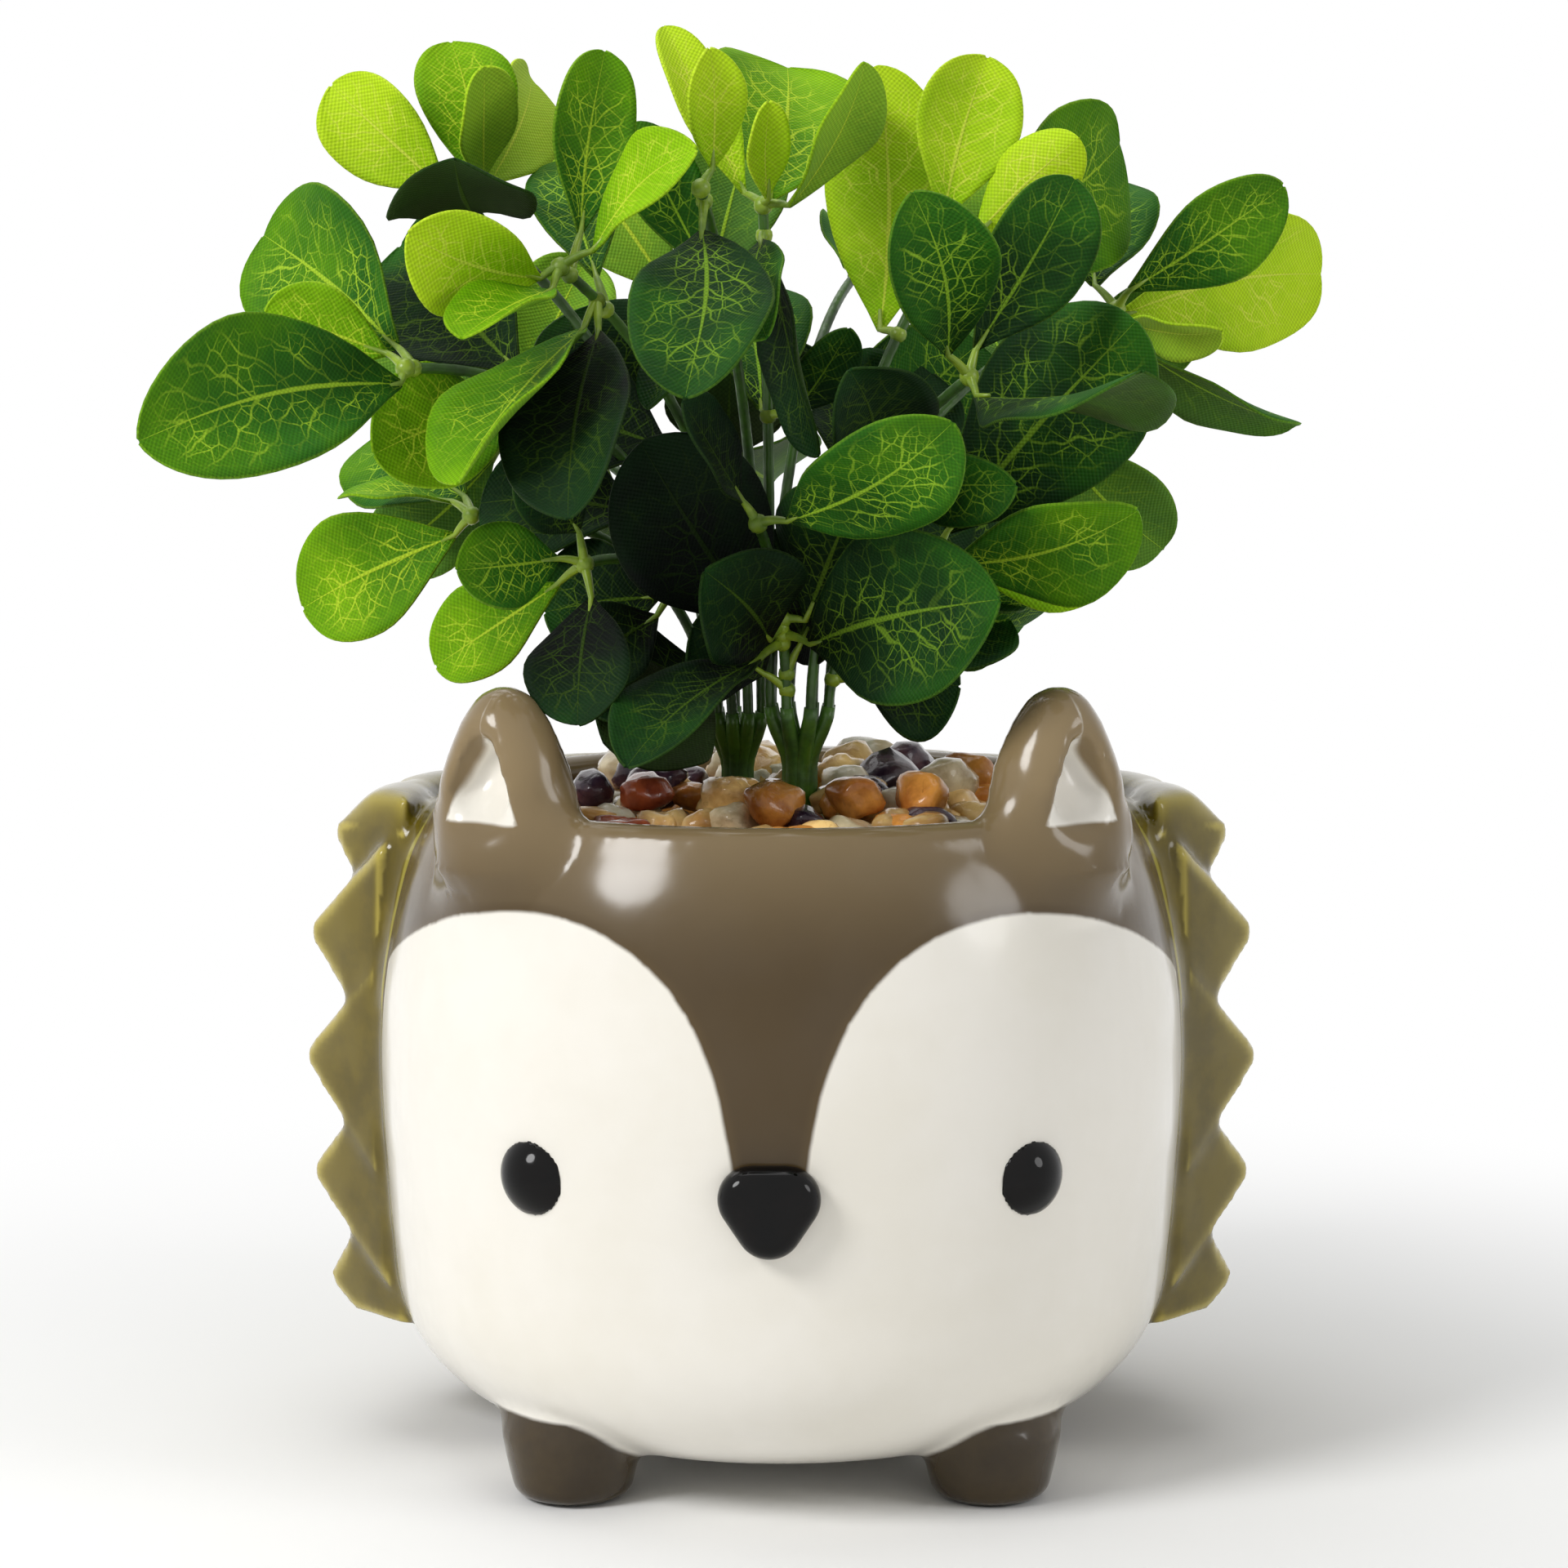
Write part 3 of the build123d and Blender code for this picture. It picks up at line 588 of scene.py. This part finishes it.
def buildPebbles(color, look):
    node = color + "_pebbles"
    source = cadCopy(node)
    luck = random.Random(look["seed"] + len(color))
    bm = bmesh.new()
    toneLayer = bm.verts.layers.float.new("tone")
    for group in islands(source):
        points = np.array([v.co for v in group])
        low, high = points.min(0), points.max(0)
        addStone(bm, toneLayer, Vector((low + high) / 2), Vector((high - low) / 2), look["swell"], luck, look)
    source.free()
    stems = [(Vector(low) + Vector(high)) / 2 for low, high in (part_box("left_trunk"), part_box("right_trunk"))]
    placed = 0
    while placed < look["small"][color]:
        out, turn = look["spread"] * mm * math.sqrt(luck.random()), luck.uniform(0, math.tau)
        x, y = out * math.cos(turn), out * math.sin(turn)
        if min(math.hypot(x - stem.x, y - stem.y) for stem in stems) < look["stemRoom"] * mm:
            continue
        rise = max(0.0, 1 - out / (27 * mm))
        level = (look["bedLevel"] + look["heap"] * rise * (2 - rise)) * mm
        size = luck.uniform(*look["smallSize"]) * mm
        addStone(bm, toneLayer, Vector((x, y, level)), Vector((size, size, 0.8 * size)), (1, 1, 1), luck, look)
        placed += 1
    return makePiece(color + "Pebbles", bm, "insert", [node], [pebbleMaterial(color, look[color])])


for stoneColor in ("tan", "amber", "dark", "grey", "white", "red"):
    buildPebbles(stoneColor, pebbleLook)

bedLook = dict(foam=srgb(92, 128, 74), foamShade=srgb(60, 90, 50), sand=srgb(96, 74, 52), grit=srgb(44, 34, 28),
               steel=srgb(170, 170, 172), steelShade=srgb(120, 120, 124))


def bedMaterial(name, color, shade, scale, rough, metal=0.0):
    material, tree, shader = newMaterial(name, Roughness=rough, Metallic=metal)
    grain = useGroup(tree, mottle, {"Scale": scale, "Color": color, "Shade": shade, "Amount": 1.0})
    tree.links.new(grain["Color"], shader.inputs["Base Color"])
    bump = put(tree, "Bump", {"Height": grain["Mask"], "Strength": 0.5, "Distance": 0.0006})
    tree.links.new(bump.outputs["Normal"], shader.inputs["Normal"])
    return material


dress("foam_plug", bedMaterial("floralFoam", bedLook["foam"], bedLook["foamShade"], 1400.0, 0.95))
dress("gravel_bed", bedMaterial("bondedGravel", bedLook["sand"], bedLook["grit"], 520.0, 0.45))
wireSteel = bedMaterial("coreSteel", bedLook["steel"], bedLook["steelShade"], 900.0, 0.35, 1.0)
dress("left_core_wire", wireSteel)
dress("right_core_wire", wireSteel)
print("pebbles and bed done")


# trunks, sprigs and leaf clips

stemLook = dict(trunk=srgb(78, 122, 34), trunkShade=srgb(44, 78, 24), sprig=srgb(60, 98, 28), sprigShade=srgb(34, 60, 18),
                stalk=srgb(140, 166, 44), stalkShade=srgb(92, 122, 32), bundle=1.1, twist=0.9, fanFrom=0.87, steps=40, sides=10,
                strandRadii=(1.35, 0.9), stalkRadii=(0.72, 0.4), knuckle=1.15, bud=1.3, stalkSides=8, stalkSteps=6)


def stemMaterial(name, color, shade):
    material, tree, shader = newMaterial(name, Roughness=0.38, IOR=1.46)
    streak = useGroup(tree, mottle, {"Scale": 240.0, "Color": color, "Shade": shade, "Amount": 0.9})
    tree.links.new(streak["Color"], shader.inputs["Base Color"])
    tree.links.new(ramp(tree, streak["Mask"], 0.0, 1.0, 0.32, 0.5), shader.inputs["Roughness"])
    bump = put(tree, "Bump", {"Height": streak["Mask"], "Strength": 0.2, "Distance": 0.0003})
    tree.links.new(bump.outputs["Normal"], shader.inputs["Normal"])
    return material


trunkPlastic = stemMaterial("trunkPlastic", stemLook["trunk"], stemLook["trunkShade"])
sprigPlastic = stemMaterial("sprigPlastic", stemLook["sprig"], stemLook["sprigShade"])
clipPlastic = stemMaterial("clipPlastic", stemLook["stalk"], stemLook["stalkShade"])


def tube(bm, path, radii, sides):
    # a ring swept along the path without twist, both ends closed
    heading, turn, face = Vector((0, 0, 1)), Quaternion(), None
    for index, (spot, radius) in enumerate(zip(path, radii)):
        ahead = (path[min(index + 1, len(path) - 1)] - path[max(index - 1, 0)]).normalized()
        turn = heading.rotation_difference(ahead) @ turn
        heading = ahead
        place = Matrix.LocRotScale(spot, turn, Vector((radius, radius, radius)))
        if face is None:
            ring = bmesh.ops.create_circle(bm, segments=sides, radius=1.0, cap_ends=True, matrix=place)["verts"]
            face = ring[0].link_faces[0]
        else:
            face = bmesh.ops.extrude_discrete_faces(bm, faces=[face])["faces"][0]
            bmesh.ops.transform(bm, matrix=place @ previous.inverted(), verts=face.verts)
        previous = place
    bmesh.ops.holes_fill(bm, edges=[edge for edge in bm.edges if edge.is_boundary], sides=sides)


def sprigEnds(node):
    # middle of the sprig's root and of its far end
    points = pointsOf(nodes[node].data)
    root = points[points[:, 2] < points[:, 2].min() + 0.5 * mm].mean(0)
    far = points[np.linalg.norm(points - root, axis=1).argmax()]
    end = points[np.linalg.norm(points - far, axis=1) < 1.8 * mm].mean(0)
    return Vector(root), Vector(end)


def stemPoint(node, spot):
    # middle of the sprig where it passes nearest to the spot
    points = pointsOf(nodes[node].data)
    near = points[np.linalg.norm(points - np.array(spot), axis=1).argmin()]
    return Vector(points[np.linalg.norm(points - near, axis=1) < 1.75 * mm].mean(0))


def buildTrunk(side, roots, look):
    # one strand for each sprig, twisted together and fanning out at the crown
    low, high = (Vector(corner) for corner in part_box(side + "_trunk"))
    middle = (low + high) / 2
    bm = bmesh.new()
    for root in roots:
        turn = math.atan2(root.y - middle.y, root.x - middle.x)
        path, radii = [], []
        for step in range(look["steps"] + 1):
            t = step / look["steps"]
            spin = turn - look["twist"] * (1 - t)
            level = low.z + (root.z + mm - low.z) * t
            spot = Vector((middle.x + look["bundle"] * mm * math.cos(spin), middle.y + look["bundle"] * mm * math.sin(spin), level))
            fan = max(0.0, (t - look["fanFrom"]) / (1 - look["fanFrom"]))
            path.append(spot.lerp(Vector((root.x, root.y, level)), fan * fan * (3 - 2 * fan)))
            radii.append((look["strandRadii"][0] + (look["strandRadii"][1] - look["strandRadii"][0]) * fan) * mm)
        tube(bm, path, radii, look["sides"])
    bmesh.ops.recalc_face_normals(bm, faces=bm.faces)
    return makePiece(side + "Trunk", bm, "insert", [side + "_trunk"], [trunkPlastic])


def buildClips(side, stalks, tips, look):
    # a leaf stalk from the sprig into the blade, with a knuckle on the sprig
    bm = bmesh.new()
    for stem, base, aim in stalks:
        bow = (stem + base) / 2 + Vector((0, 0, 0.12 * (base - stem).length))
        path, radii = [], []
        for step in range(look["stalkSteps"] + 1):
            t = step / look["stalkSteps"]
            path.append(stem * (1 - t) ** 2 + bow * 2 * t * (1 - t) + base * t * t)
            radii.append((look["stalkRadii"][0] * (1 - t) + look["stalkRadii"][1] * t) * mm)
        path.append(base + aim * 3 * mm)
        radii.append(0.25 * mm)
        tube(bm, path, radii, look["stalkSides"])
        bmesh.ops.create_icosphere(bm, subdivisions=2, radius=look["knuckle"] * mm, matrix=Matrix.Translation(stem))
    for tip in tips:
        bmesh.ops.create_icosphere(bm, subdivisions=2, radius=look["bud"] * mm, matrix=Matrix.Translation(tip))
    bmesh.ops.recalc_face_normals(bm, faces=bm.faces)
    return makePiece(side + "LeafClips", bm, "insert", [side + "_leaf_clips"], [clipPlastic])


sprigTips = {}
for side in ("left", "right"):
    sprigNodes = sorted(n for n in nodes if n.startswith(side + "_sprig_"))
    roots, sprigTips[side] = zip(*[sprigEnds(node) for node in sprigNodes])
    buildTrunk(side, roots, stemLook)
    for node in sprigNodes:
        label = side + "Sprig" + node.split("_")[-1].capitalize()
        sprig = makePiece(label, cadCopy(node), "insert", [node], [sprigPlastic])
        rounded = sprig.modifiers.new("rounded", "SUBSURF")
        rounded.levels = rounded.render_levels = 1
print("stems done")


# fabric leaves

leafLook = dict(
    columns=12, rows=18, thickness=0.34 * mm, seed=7, widest=0.6, taper=1.1, stalk=0.05, rise=2.1, fuller=1.14,
    # tint of each leaf from dark green 0 to yellow lime 1, with painted shade on leaves deep in the bush and painted
    # backlit glow on the brightest, the leaves of a node from low left to high right
    tintsAndShade={
        "left_leaves_top": (0.1, 0.95, 0.78, 0.62, 1.0),
        "left_leaves_upper": (0.54, 0.06, 0.6, 0.9, 0.38, 0.74, 0.5),
        "left_leaves_outer": (0.42, 0.58, 0.66, 0.46, 0.18),
        "left_leaves_side": (0.6, 0.56, 0.4),
        "left_leaves_low": (0.62, 0.05, 0.08, 0.42, 0.15),
        "left_leaves_centre": (0.12, 0.22, 0.35, 0.88),
        "left_leaves_rear": (0.4, 0.3, 0.3, 0.45, 0.62),
        "left_leaves_back": (0.36, 0.3, 0.7, 0.42),
        "right_leaves_top": (0.1, 0.3, 0.3, 0.2, 1.0, 1.0, 0.6, 0.7),
        "right_leaves_upper": (0.2, 0.3, 0.88, 1.0, 0.45, 0.92),
        "right_leaves_mid": (0.24, 0.08, 0.2, 0.34, 0.24),
        "right_leaves_outer": (0.34, 0.84, 0.3, 0.95, 0.42),
        "right_leaves_low": (0.3, 0.74, 0.44, 0.22),
        "right_leaves_front": (0.12, 0.08, 0.0, 0.2, 0.16, 0.06, 0.36),
        "right_leaves_rear": (0.3, 0.42, 0.55, 0.34, 0.4),
        "right_leaves_back": (0.34, 0.4, 0.5, 0.6),
    },
    # small leaves in the heart of the bush: sprig, place on it and tip in mm, half width in mm, tint with painted shade
    inner=(("left_sprig_low", (-8, -8, 104), (-28, -13, 103), 8.4, 0.1), ("left_sprig_low", (-14, -12, 109), (-31, -6, 113), 7.6, 0.16),
           ("left_sprig_outer", (-18, -12, 121), (-40, 2, 127), 8.0, 0.12), ("left_sprig_upper", (-16, -15, 128), (-35, -4, 140), 8.0, 0.1),
           ("left_sprig_top", (-18, -4, 132), (-28, 6, 152), 8.0, 0.14), ("left_sprig_back", (-7, 20, 126), (-7, 14, 144), 7.4, 0.08),
           ("right_sprig_front", (1, -12, 106), (9, -17, 124), 8.2, 0.08), ("right_sprig_low", (13, -9, 112), (19, 2, 131), 7.8, 0.14),
           ("right_sprig_outer", (20, 5, 118), (33, 6, 116), 8.2, 0.2), ("right_sprig_upper", (13, -3, 130), (20, 6, 144), 7.6, 0.12),
           ("right_sprig_back", (7, 20, 130), (6, 13, 146), 7.4, 0.1), ("right_sprig_low", (10, -7, 107), (30, 2, 112), 8.0, 0.16),
           ("left_sprig_low", (-6, -8, 102), (-23, -17, 97), 8.2, 0.06), ("left_sprig_centre", (-3, -9, 106), (5, -15, 120), 8.0, 0.05),
           ("right_sprig_front", (2, -10, 104), (-11, -17, 112), 8.0, 0.08), ("right_sprig_low", (9, -8, 104), (23, -13, 104), 7.6, 0.1)),
)


def leafMaterial(name, under):
    material, tree, shader = newMaterial(name, Roughness=0.62, IOR=1.4)
    shader.inputs["Specular IOR Level"].default_value = 0.14
    cloth = put(tree, "UVMap", uv_map="cloth").outputs["UV"]
    blade = put(tree, "UVMap", uv_map="blade").outputs["UV"]
    tintAndShade = put(tree, "Attribute", attribute_name="tintAndShade").outputs["Fac"]
    along = put(tree, "SeparateXYZ", {0: blade}).outputs[1]
    cloudy = put(tree, "TexNoise", {"Vector": cloth, "Scale": 0.1, "Detail": 3.0}, noise_dimensions="2D").outputs["Fac"]
    # each leaf's tint with its painted shade or glow, a little darker towards the base and lighter towards the tip,
    # with cloudy patches
    lean = calc(tree, "MULTIPLY_ADD", calc(tree, "SUBTRACT", along, 0.5), 0.2, tintAndShade)
    lean = calc(tree, "MULTIPLY_ADD", calc(tree, "SUBTRACT", cloudy, 0.5), 0.3, lean, clamp=True)
    ground = colorStops(tree, lean, [(0.0, srgb(8, 14, 10)), (0.2, srgb(18, 50, 16)), (0.4, srgb(46, 104, 20)),
                                     (0.6, srgb(98, 154, 4)), (0.8, srgb(146, 198, 12)), (1.0, srgb(190, 226, 34))])
    # the vein ink follows the tint, so the print is painted darker on leaves painted in shade
    ink = colorStops(tree, tintAndShade, [(0.0, srgb(30, 48, 12)), (0.14, srgb(78, 108, 26)), (0.32, srgb(150, 196, 50)), (0.6, srgb(190, 218, 50)),
                                  (1.0, srgb(222, 236, 84))])
    veins = useGroup(tree, printedVeins, {"Cloth": cloth, "Blade": blade})
    weave = useGroup(tree, clothWeave, {"Vector": cloth, "Pitch": 0.62})["Height"]
    if under:
        pale = blendColor(tree, calc(tree, "MULTIPLY_ADD", tintAndShade, 0.3, 0.06), ground, srgb(146, 176, 84))
        color = blendColor(tree, calc(tree, "MULTIPLY", veins["Veins"], 0.22), pale, ink)
    else:
        color = blendColor(tree, calc(tree, "MULTIPLY", veins["Veins"], 0.85), ground, ink)
    color = blendColor(tree, calc(tree, "MULTIPLY", veins["Midrib"], 0.9), color, ink)
    edge = ramp(tree, calc(tree, "ABSOLUTE", put(tree, "SeparateXYZ", {0: blade}).outputs[0]), 0.965, 1.0, 0.0, 0.22)
    color = blendColor(tree, edge, color, ink)
    threads = blendColor(tree, ramp(tree, weave, 0.0, 1.0, 0.0, 0.3), color, srgb(10, 24, 8), mode="MIX")
    tree.links.new(threads, shader.inputs["Base Color"])
    ribbed = calc(tree, "MULTIPLY_ADD", veins["Midrib"], 0.6, calc(tree, "MULTIPLY", weave, -0.35))
    bump = put(tree, "Bump", {"Height": ribbed, "Strength": 0.5, "Distance": 0.0004})
    tree.links.new(bump.outputs["Normal"], shader.inputs["Normal"])
    return material


leafTop = leafMaterial("printedLeafTop", False)
leafUnder = leafMaterial("printedLeafUnderside", True)


def leafFrame(points, clipTree):
    # the long axis, the base at the clip end and the hollow side, read from the solid
    middle = points.mean(0)
    axes = np.linalg.svd(points - middle)[2]
    aim = axes[0]
    along = (points - middle) @ aim
    ends = [Vector(middle + aim * along.min()), Vector(middle + aim * along.max())]
    gaps = [clipTree.find(end)[2] for end in ends]
    if gaps[1] < gaps[0]:
        aim = -aim
        ends.reverse()
    side = axes[1]
    normal = np.cross(side, aim)
    across = np.abs((points - middle) @ side)
    rise = (points - middle) @ normal
    wide = across > 0.75 * across.max()
    thin = across < 0.2 * across.max()
    if rise[wide].mean() < rise[thin].mean():
        normal = -normal
    side = np.cross(normal, aim)
    return ends[0], ends[1], Vector(side), Vector(normal), across.max()


def leafOutline(look):
    # place along the leaf and half width of each row, closer together at the round tip
    rows = []
    for row in range(look["rows"] + 1):
        v = math.sin(0.5 * math.pi * row / look["rows"])
        if v > look["widest"]:
            width = math.sqrt(max(0.001, 1 - ((v - look["widest"]) / (1 - look["widest"])) ** 2))
        else:
            width = look["stalk"] + (1 - look["stalk"]) * math.sin(0.5 * math.pi * v / look["widest"]) ** look["taper"]
        rows.append((v, width))
    return rows


def readLeaves(node, clipTree, look):
    # base, tip, side, normal, half width and tint with painted shade of each leaf of a node
    source = cadCopy(node)
    leaves = [leafFrame(np.array([v.co for v in group]), clipTree) for group in islands(source)]
    source.free()
    leaves.sort(key=lambda leaf: leaf[1].x + look["rise"] * leaf[1].z)
    return [(*leaf, tintAndShade) for leaf, tintAndShade in zip(leaves, look["tintsAndShade"][node])]


def innerLeaf(sprig, place, tip, half, tintAndShade):
    stem, tip = stemPoint(sprig, Vector(place) * mm), Vector(tip) * mm
    aim = (tip - stem).normalized()
    facing = Vector((0.3 * tip.x, tip.y - 0.03, 0.02))
    normal = (facing - aim * facing.dot(aim)).normalized()
    return stem, (stem + aim * 4 * mm, tip, normal.cross(aim), normal, half * mm, tintAndShade)


def buildLeaves(name, replaced, leaves, look, luck):
    bm = bmesh.new()
    tintAndShadeLayer = bm.verts.layers.float.new("tintAndShade")
    clothLayer, bladeLayer = bm.loops.layers.uv.new("cloth"), bm.loops.layers.uv.new("blade")
    outline = leafOutline(look)
    for base, tip, side, normal, half, tintAndShade in leaves:
        length = (tip - base).length
        aim = (tip - base) / length
        cup, fold, arch = luck.uniform(0.08, 0.3), luck.uniform(0.04, 0.16), luck.uniform(0.02, 0.07)
        curl, twist, sway = luck.uniform(0.0, 0.09), luck.uniform(-0.3, 0.3), luck.uniform(-0.06, 0.06)
        phase = luck.uniform(0, math.tau)
        made = bmesh.ops.create_grid(bm, x_segments=look["columns"], y_segments=look["rows"], size=0.5)["verts"]
        flat = {v: (v.co.x * 2, *outline[round((v.co.y + 0.5) * look["rows"])]) for v in made}
        shift = Vector((luck.uniform(0, 90), luck.uniform(0, 90)))
        for vert, (u, v, share) in flat.items():
            width = half * look["fuller"] * share
            lift = (cup * u * u + fold * abs(u) + twist * u * (v - 0.4) + 0.1 * math.sin(phase + 9 * v) * abs(u) * u) * width
            lift += arch * length * 2.4 * v * (1 - v) - curl * length * v ** 4
            bend = sway * length * math.sin(math.pi * v)
            vert.co = base + aim * length * v + side * (u * width + bend) + normal * lift
            vert[tintAndShadeLayer] = tintAndShade
        # the printed side looks out of the bush
        middle = (base + tip) / 2
        outward = Vector((middle.x, middle.y - 0.012, 0.6 * (middle.z - 0.12)))
        printed = normal if normal.dot(outward) > 0 else -normal
        faces = list({f for v in made for f in v.link_faces})
        for face in faces:
            face.normal_update()
            if face.normal.dot(printed) < 0:
                face.normal_flip()
            for loop in face.loops:
                u, v, share = flat[loop.vert]
                loop[bladeLayer].uv = (u, v)
                loop[clothLayer].uv = (u * half * share / mm + shift.x, v * length / mm + shift.y)
        thick = bmesh.ops.solidify(bm, geom=faces, thickness=look["thickness"])["geom"]
        for face in [g for g in thick if isinstance(g, bmesh.types.BMFace)]:
            face.material_index = 1
    bmesh.ops.recalc_face_normals(bm, faces=bm.faces)
    return makePiece(name, bm, "insert", replaced, [leafTop, leafUnder])


leafLuck = random.Random(leafLook["seed"])
for side in ("left", "right"):
    clipPoints = [v.co for v in nodes[side + "_leaf_clips"].data.vertices]
    clipTree = kdtree.KDTree(len(clipPoints))
    for index, point in enumerate(clipPoints):
        clipTree.insert(point, index)
    clipTree.balance()
    stalks = []
    for node in sorted(n for n in nodes if n.startswith(side + "_leaves_")):
        leaves = readLeaves(node, clipTree, leafLook)
        sprigNode = node.replace("_leaves_", "_sprig_")
        stalks += [(stemPoint(sprigNode, leaf[0]), leaf[0], (leaf[1] - leaf[0]).normalized()) for leaf in leaves]
        buildLeaves(side + "Leaves" + node.split("_")[-1].capitalize(), [node], leaves, leafLook, leafLuck)
    inner = [innerLeaf(*row) for row in leafLook["inner"] if row[0].startswith(side)]
    stalks += [(stem, leaf[0], (leaf[1] - leaf[0]).normalized()) for stem, leaf in inner]
    buildLeaves(side + "LeavesInner", [], [leaf for stem, leaf in inner], leafLook, leafLuck)
    buildClips(side, stalks, sprigTips[side], stemLook)
print("leaves and leaf clips done")


# floor, light and camera

stageLook = dict(floor=2.4, floorColor=srgb(244, 244, 243), floorShade=srgb(240, 240, 239), fadeFrom=0.075, fadeTo=0.24, skyFill=0.34,
                 lamps=(("keySoftbox", (-0.62, -0.5, 0.62), 0.34, 5.9), ("fillSoftbox", (0.8, -0.4, 0.45), 0.34, 1.9),
                        ("topSoftbox", (-0.1, 0.2, 0.95), 0.8, 3.4)))


def buildStage(look):
    bm = bmesh.new()
    bmesh.ops.create_grid(bm, x_segments=2, y_segments=2, size=look["floor"])
    mesh = bpy.data.meshes.new("paleFloor")
    bm.to_mesh(mesh)
    bm.free()
    floor = bpy.data.objects.new("paleFloor", mesh)
    bpy.context.collection.objects.link(floor)
    material, tree, shader = newMaterial("paleFloorPaint", Roughness=0.9)
    shader.inputs["Specular IOR Level"].default_value = 0.1
    paint = useGroup(tree, mottle, {"Scale": 3.0, "Color": look["floorColor"], "Shade": look["floorShade"], "Amount": 0.5})
    tree.links.new(paint["Color"], shader.inputs["Base Color"])
    # away from the pot the floor runs out into the white background
    away = put(tree, "VectorMath", {0: put(tree, "TexCoord").outputs["Object"]}, operation="LENGTH").outputs["Value"]
    path = put(tree, "LightPath").outputs
    seen = calc(tree, "MAXIMUM", calc(tree, "MAXIMUM", path["Is Camera Ray"], path["Is Glossy Ray"]), path["Is Transmission Ray"])
    fade = calc(tree, "MULTIPLY", ramp(tree, away, look["fadeFrom"], look["fadeTo"]), seen)
    white = put(tree, "Emission", {"Color": (1, 1, 1, 1), "Strength": 1.0}).outputs[0]
    mixed = put(tree, "MixShader", {0: fade, 1: shader.outputs[0], 2: white}).outputs[0]
    tree.links.new(mixed, tree.nodes["Material Output"].inputs["Surface"])
    mesh.materials.append(material)
    world = bpy.data.worlds.new("studioWorld")
    bpy.context.scene.world = world
    world.use_nodes = True
    tree = world.node_tree
    back = tree.nodes["Background"]
    back.inputs["Color"].default_value = (1, 1, 1, 1)
    path = put(tree, "LightPath").outputs
    seen = calc(tree, "MAXIMUM", calc(tree, "MAXIMUM", path["Is Camera Ray"], path["Is Glossy Ray"]), path["Is Transmission Ray"])
    tree.links.new(calc(tree, "MULTIPLY_ADD", seen, 1.0 - look["skyFill"], look["skyFill"]), back.inputs["Strength"])
    for name, place, size, power in look["lamps"]:
        lamp = bpy.data.lights.new(name, "AREA")
        lamp.shape = "DISK"
        lamp.size = size
        lamp.energy = power
        holder = bpy.data.objects.new(name, lamp)
        holder.location = place
        holder.rotation_euler = (Vector((0, 0, 0.09)) - Vector(place)).to_track_quat("-Z", "Y").to_euler()
        bpy.context.collection.objects.link(holder)


cameraLook = dict(place=(0.0, -0.560, 0.1592), pitch=7.10, lens=97.1, shiftX=0.0016)


def buildCamera(look):
    data = bpy.data.cameras.new("photoCamera")
    data.sensor_width = 36.0
    data.lens = look["lens"]
    data.shift_x = look["shiftX"]
    data.clip_start = 0.01
    camera = bpy.data.objects.new("photoCamera", data)
    camera.location = look["place"]
    camera.rotation_euler = (math.radians(90 - look["pitch"]), 0, 0)
    bpy.context.collection.objects.link(camera)
    bpy.context.scene.camera = camera


buildStage(stageLook)
buildCamera(cameraLook)
bpy.context.scene.view_settings.view_transform = "Standard"
print("stage done")
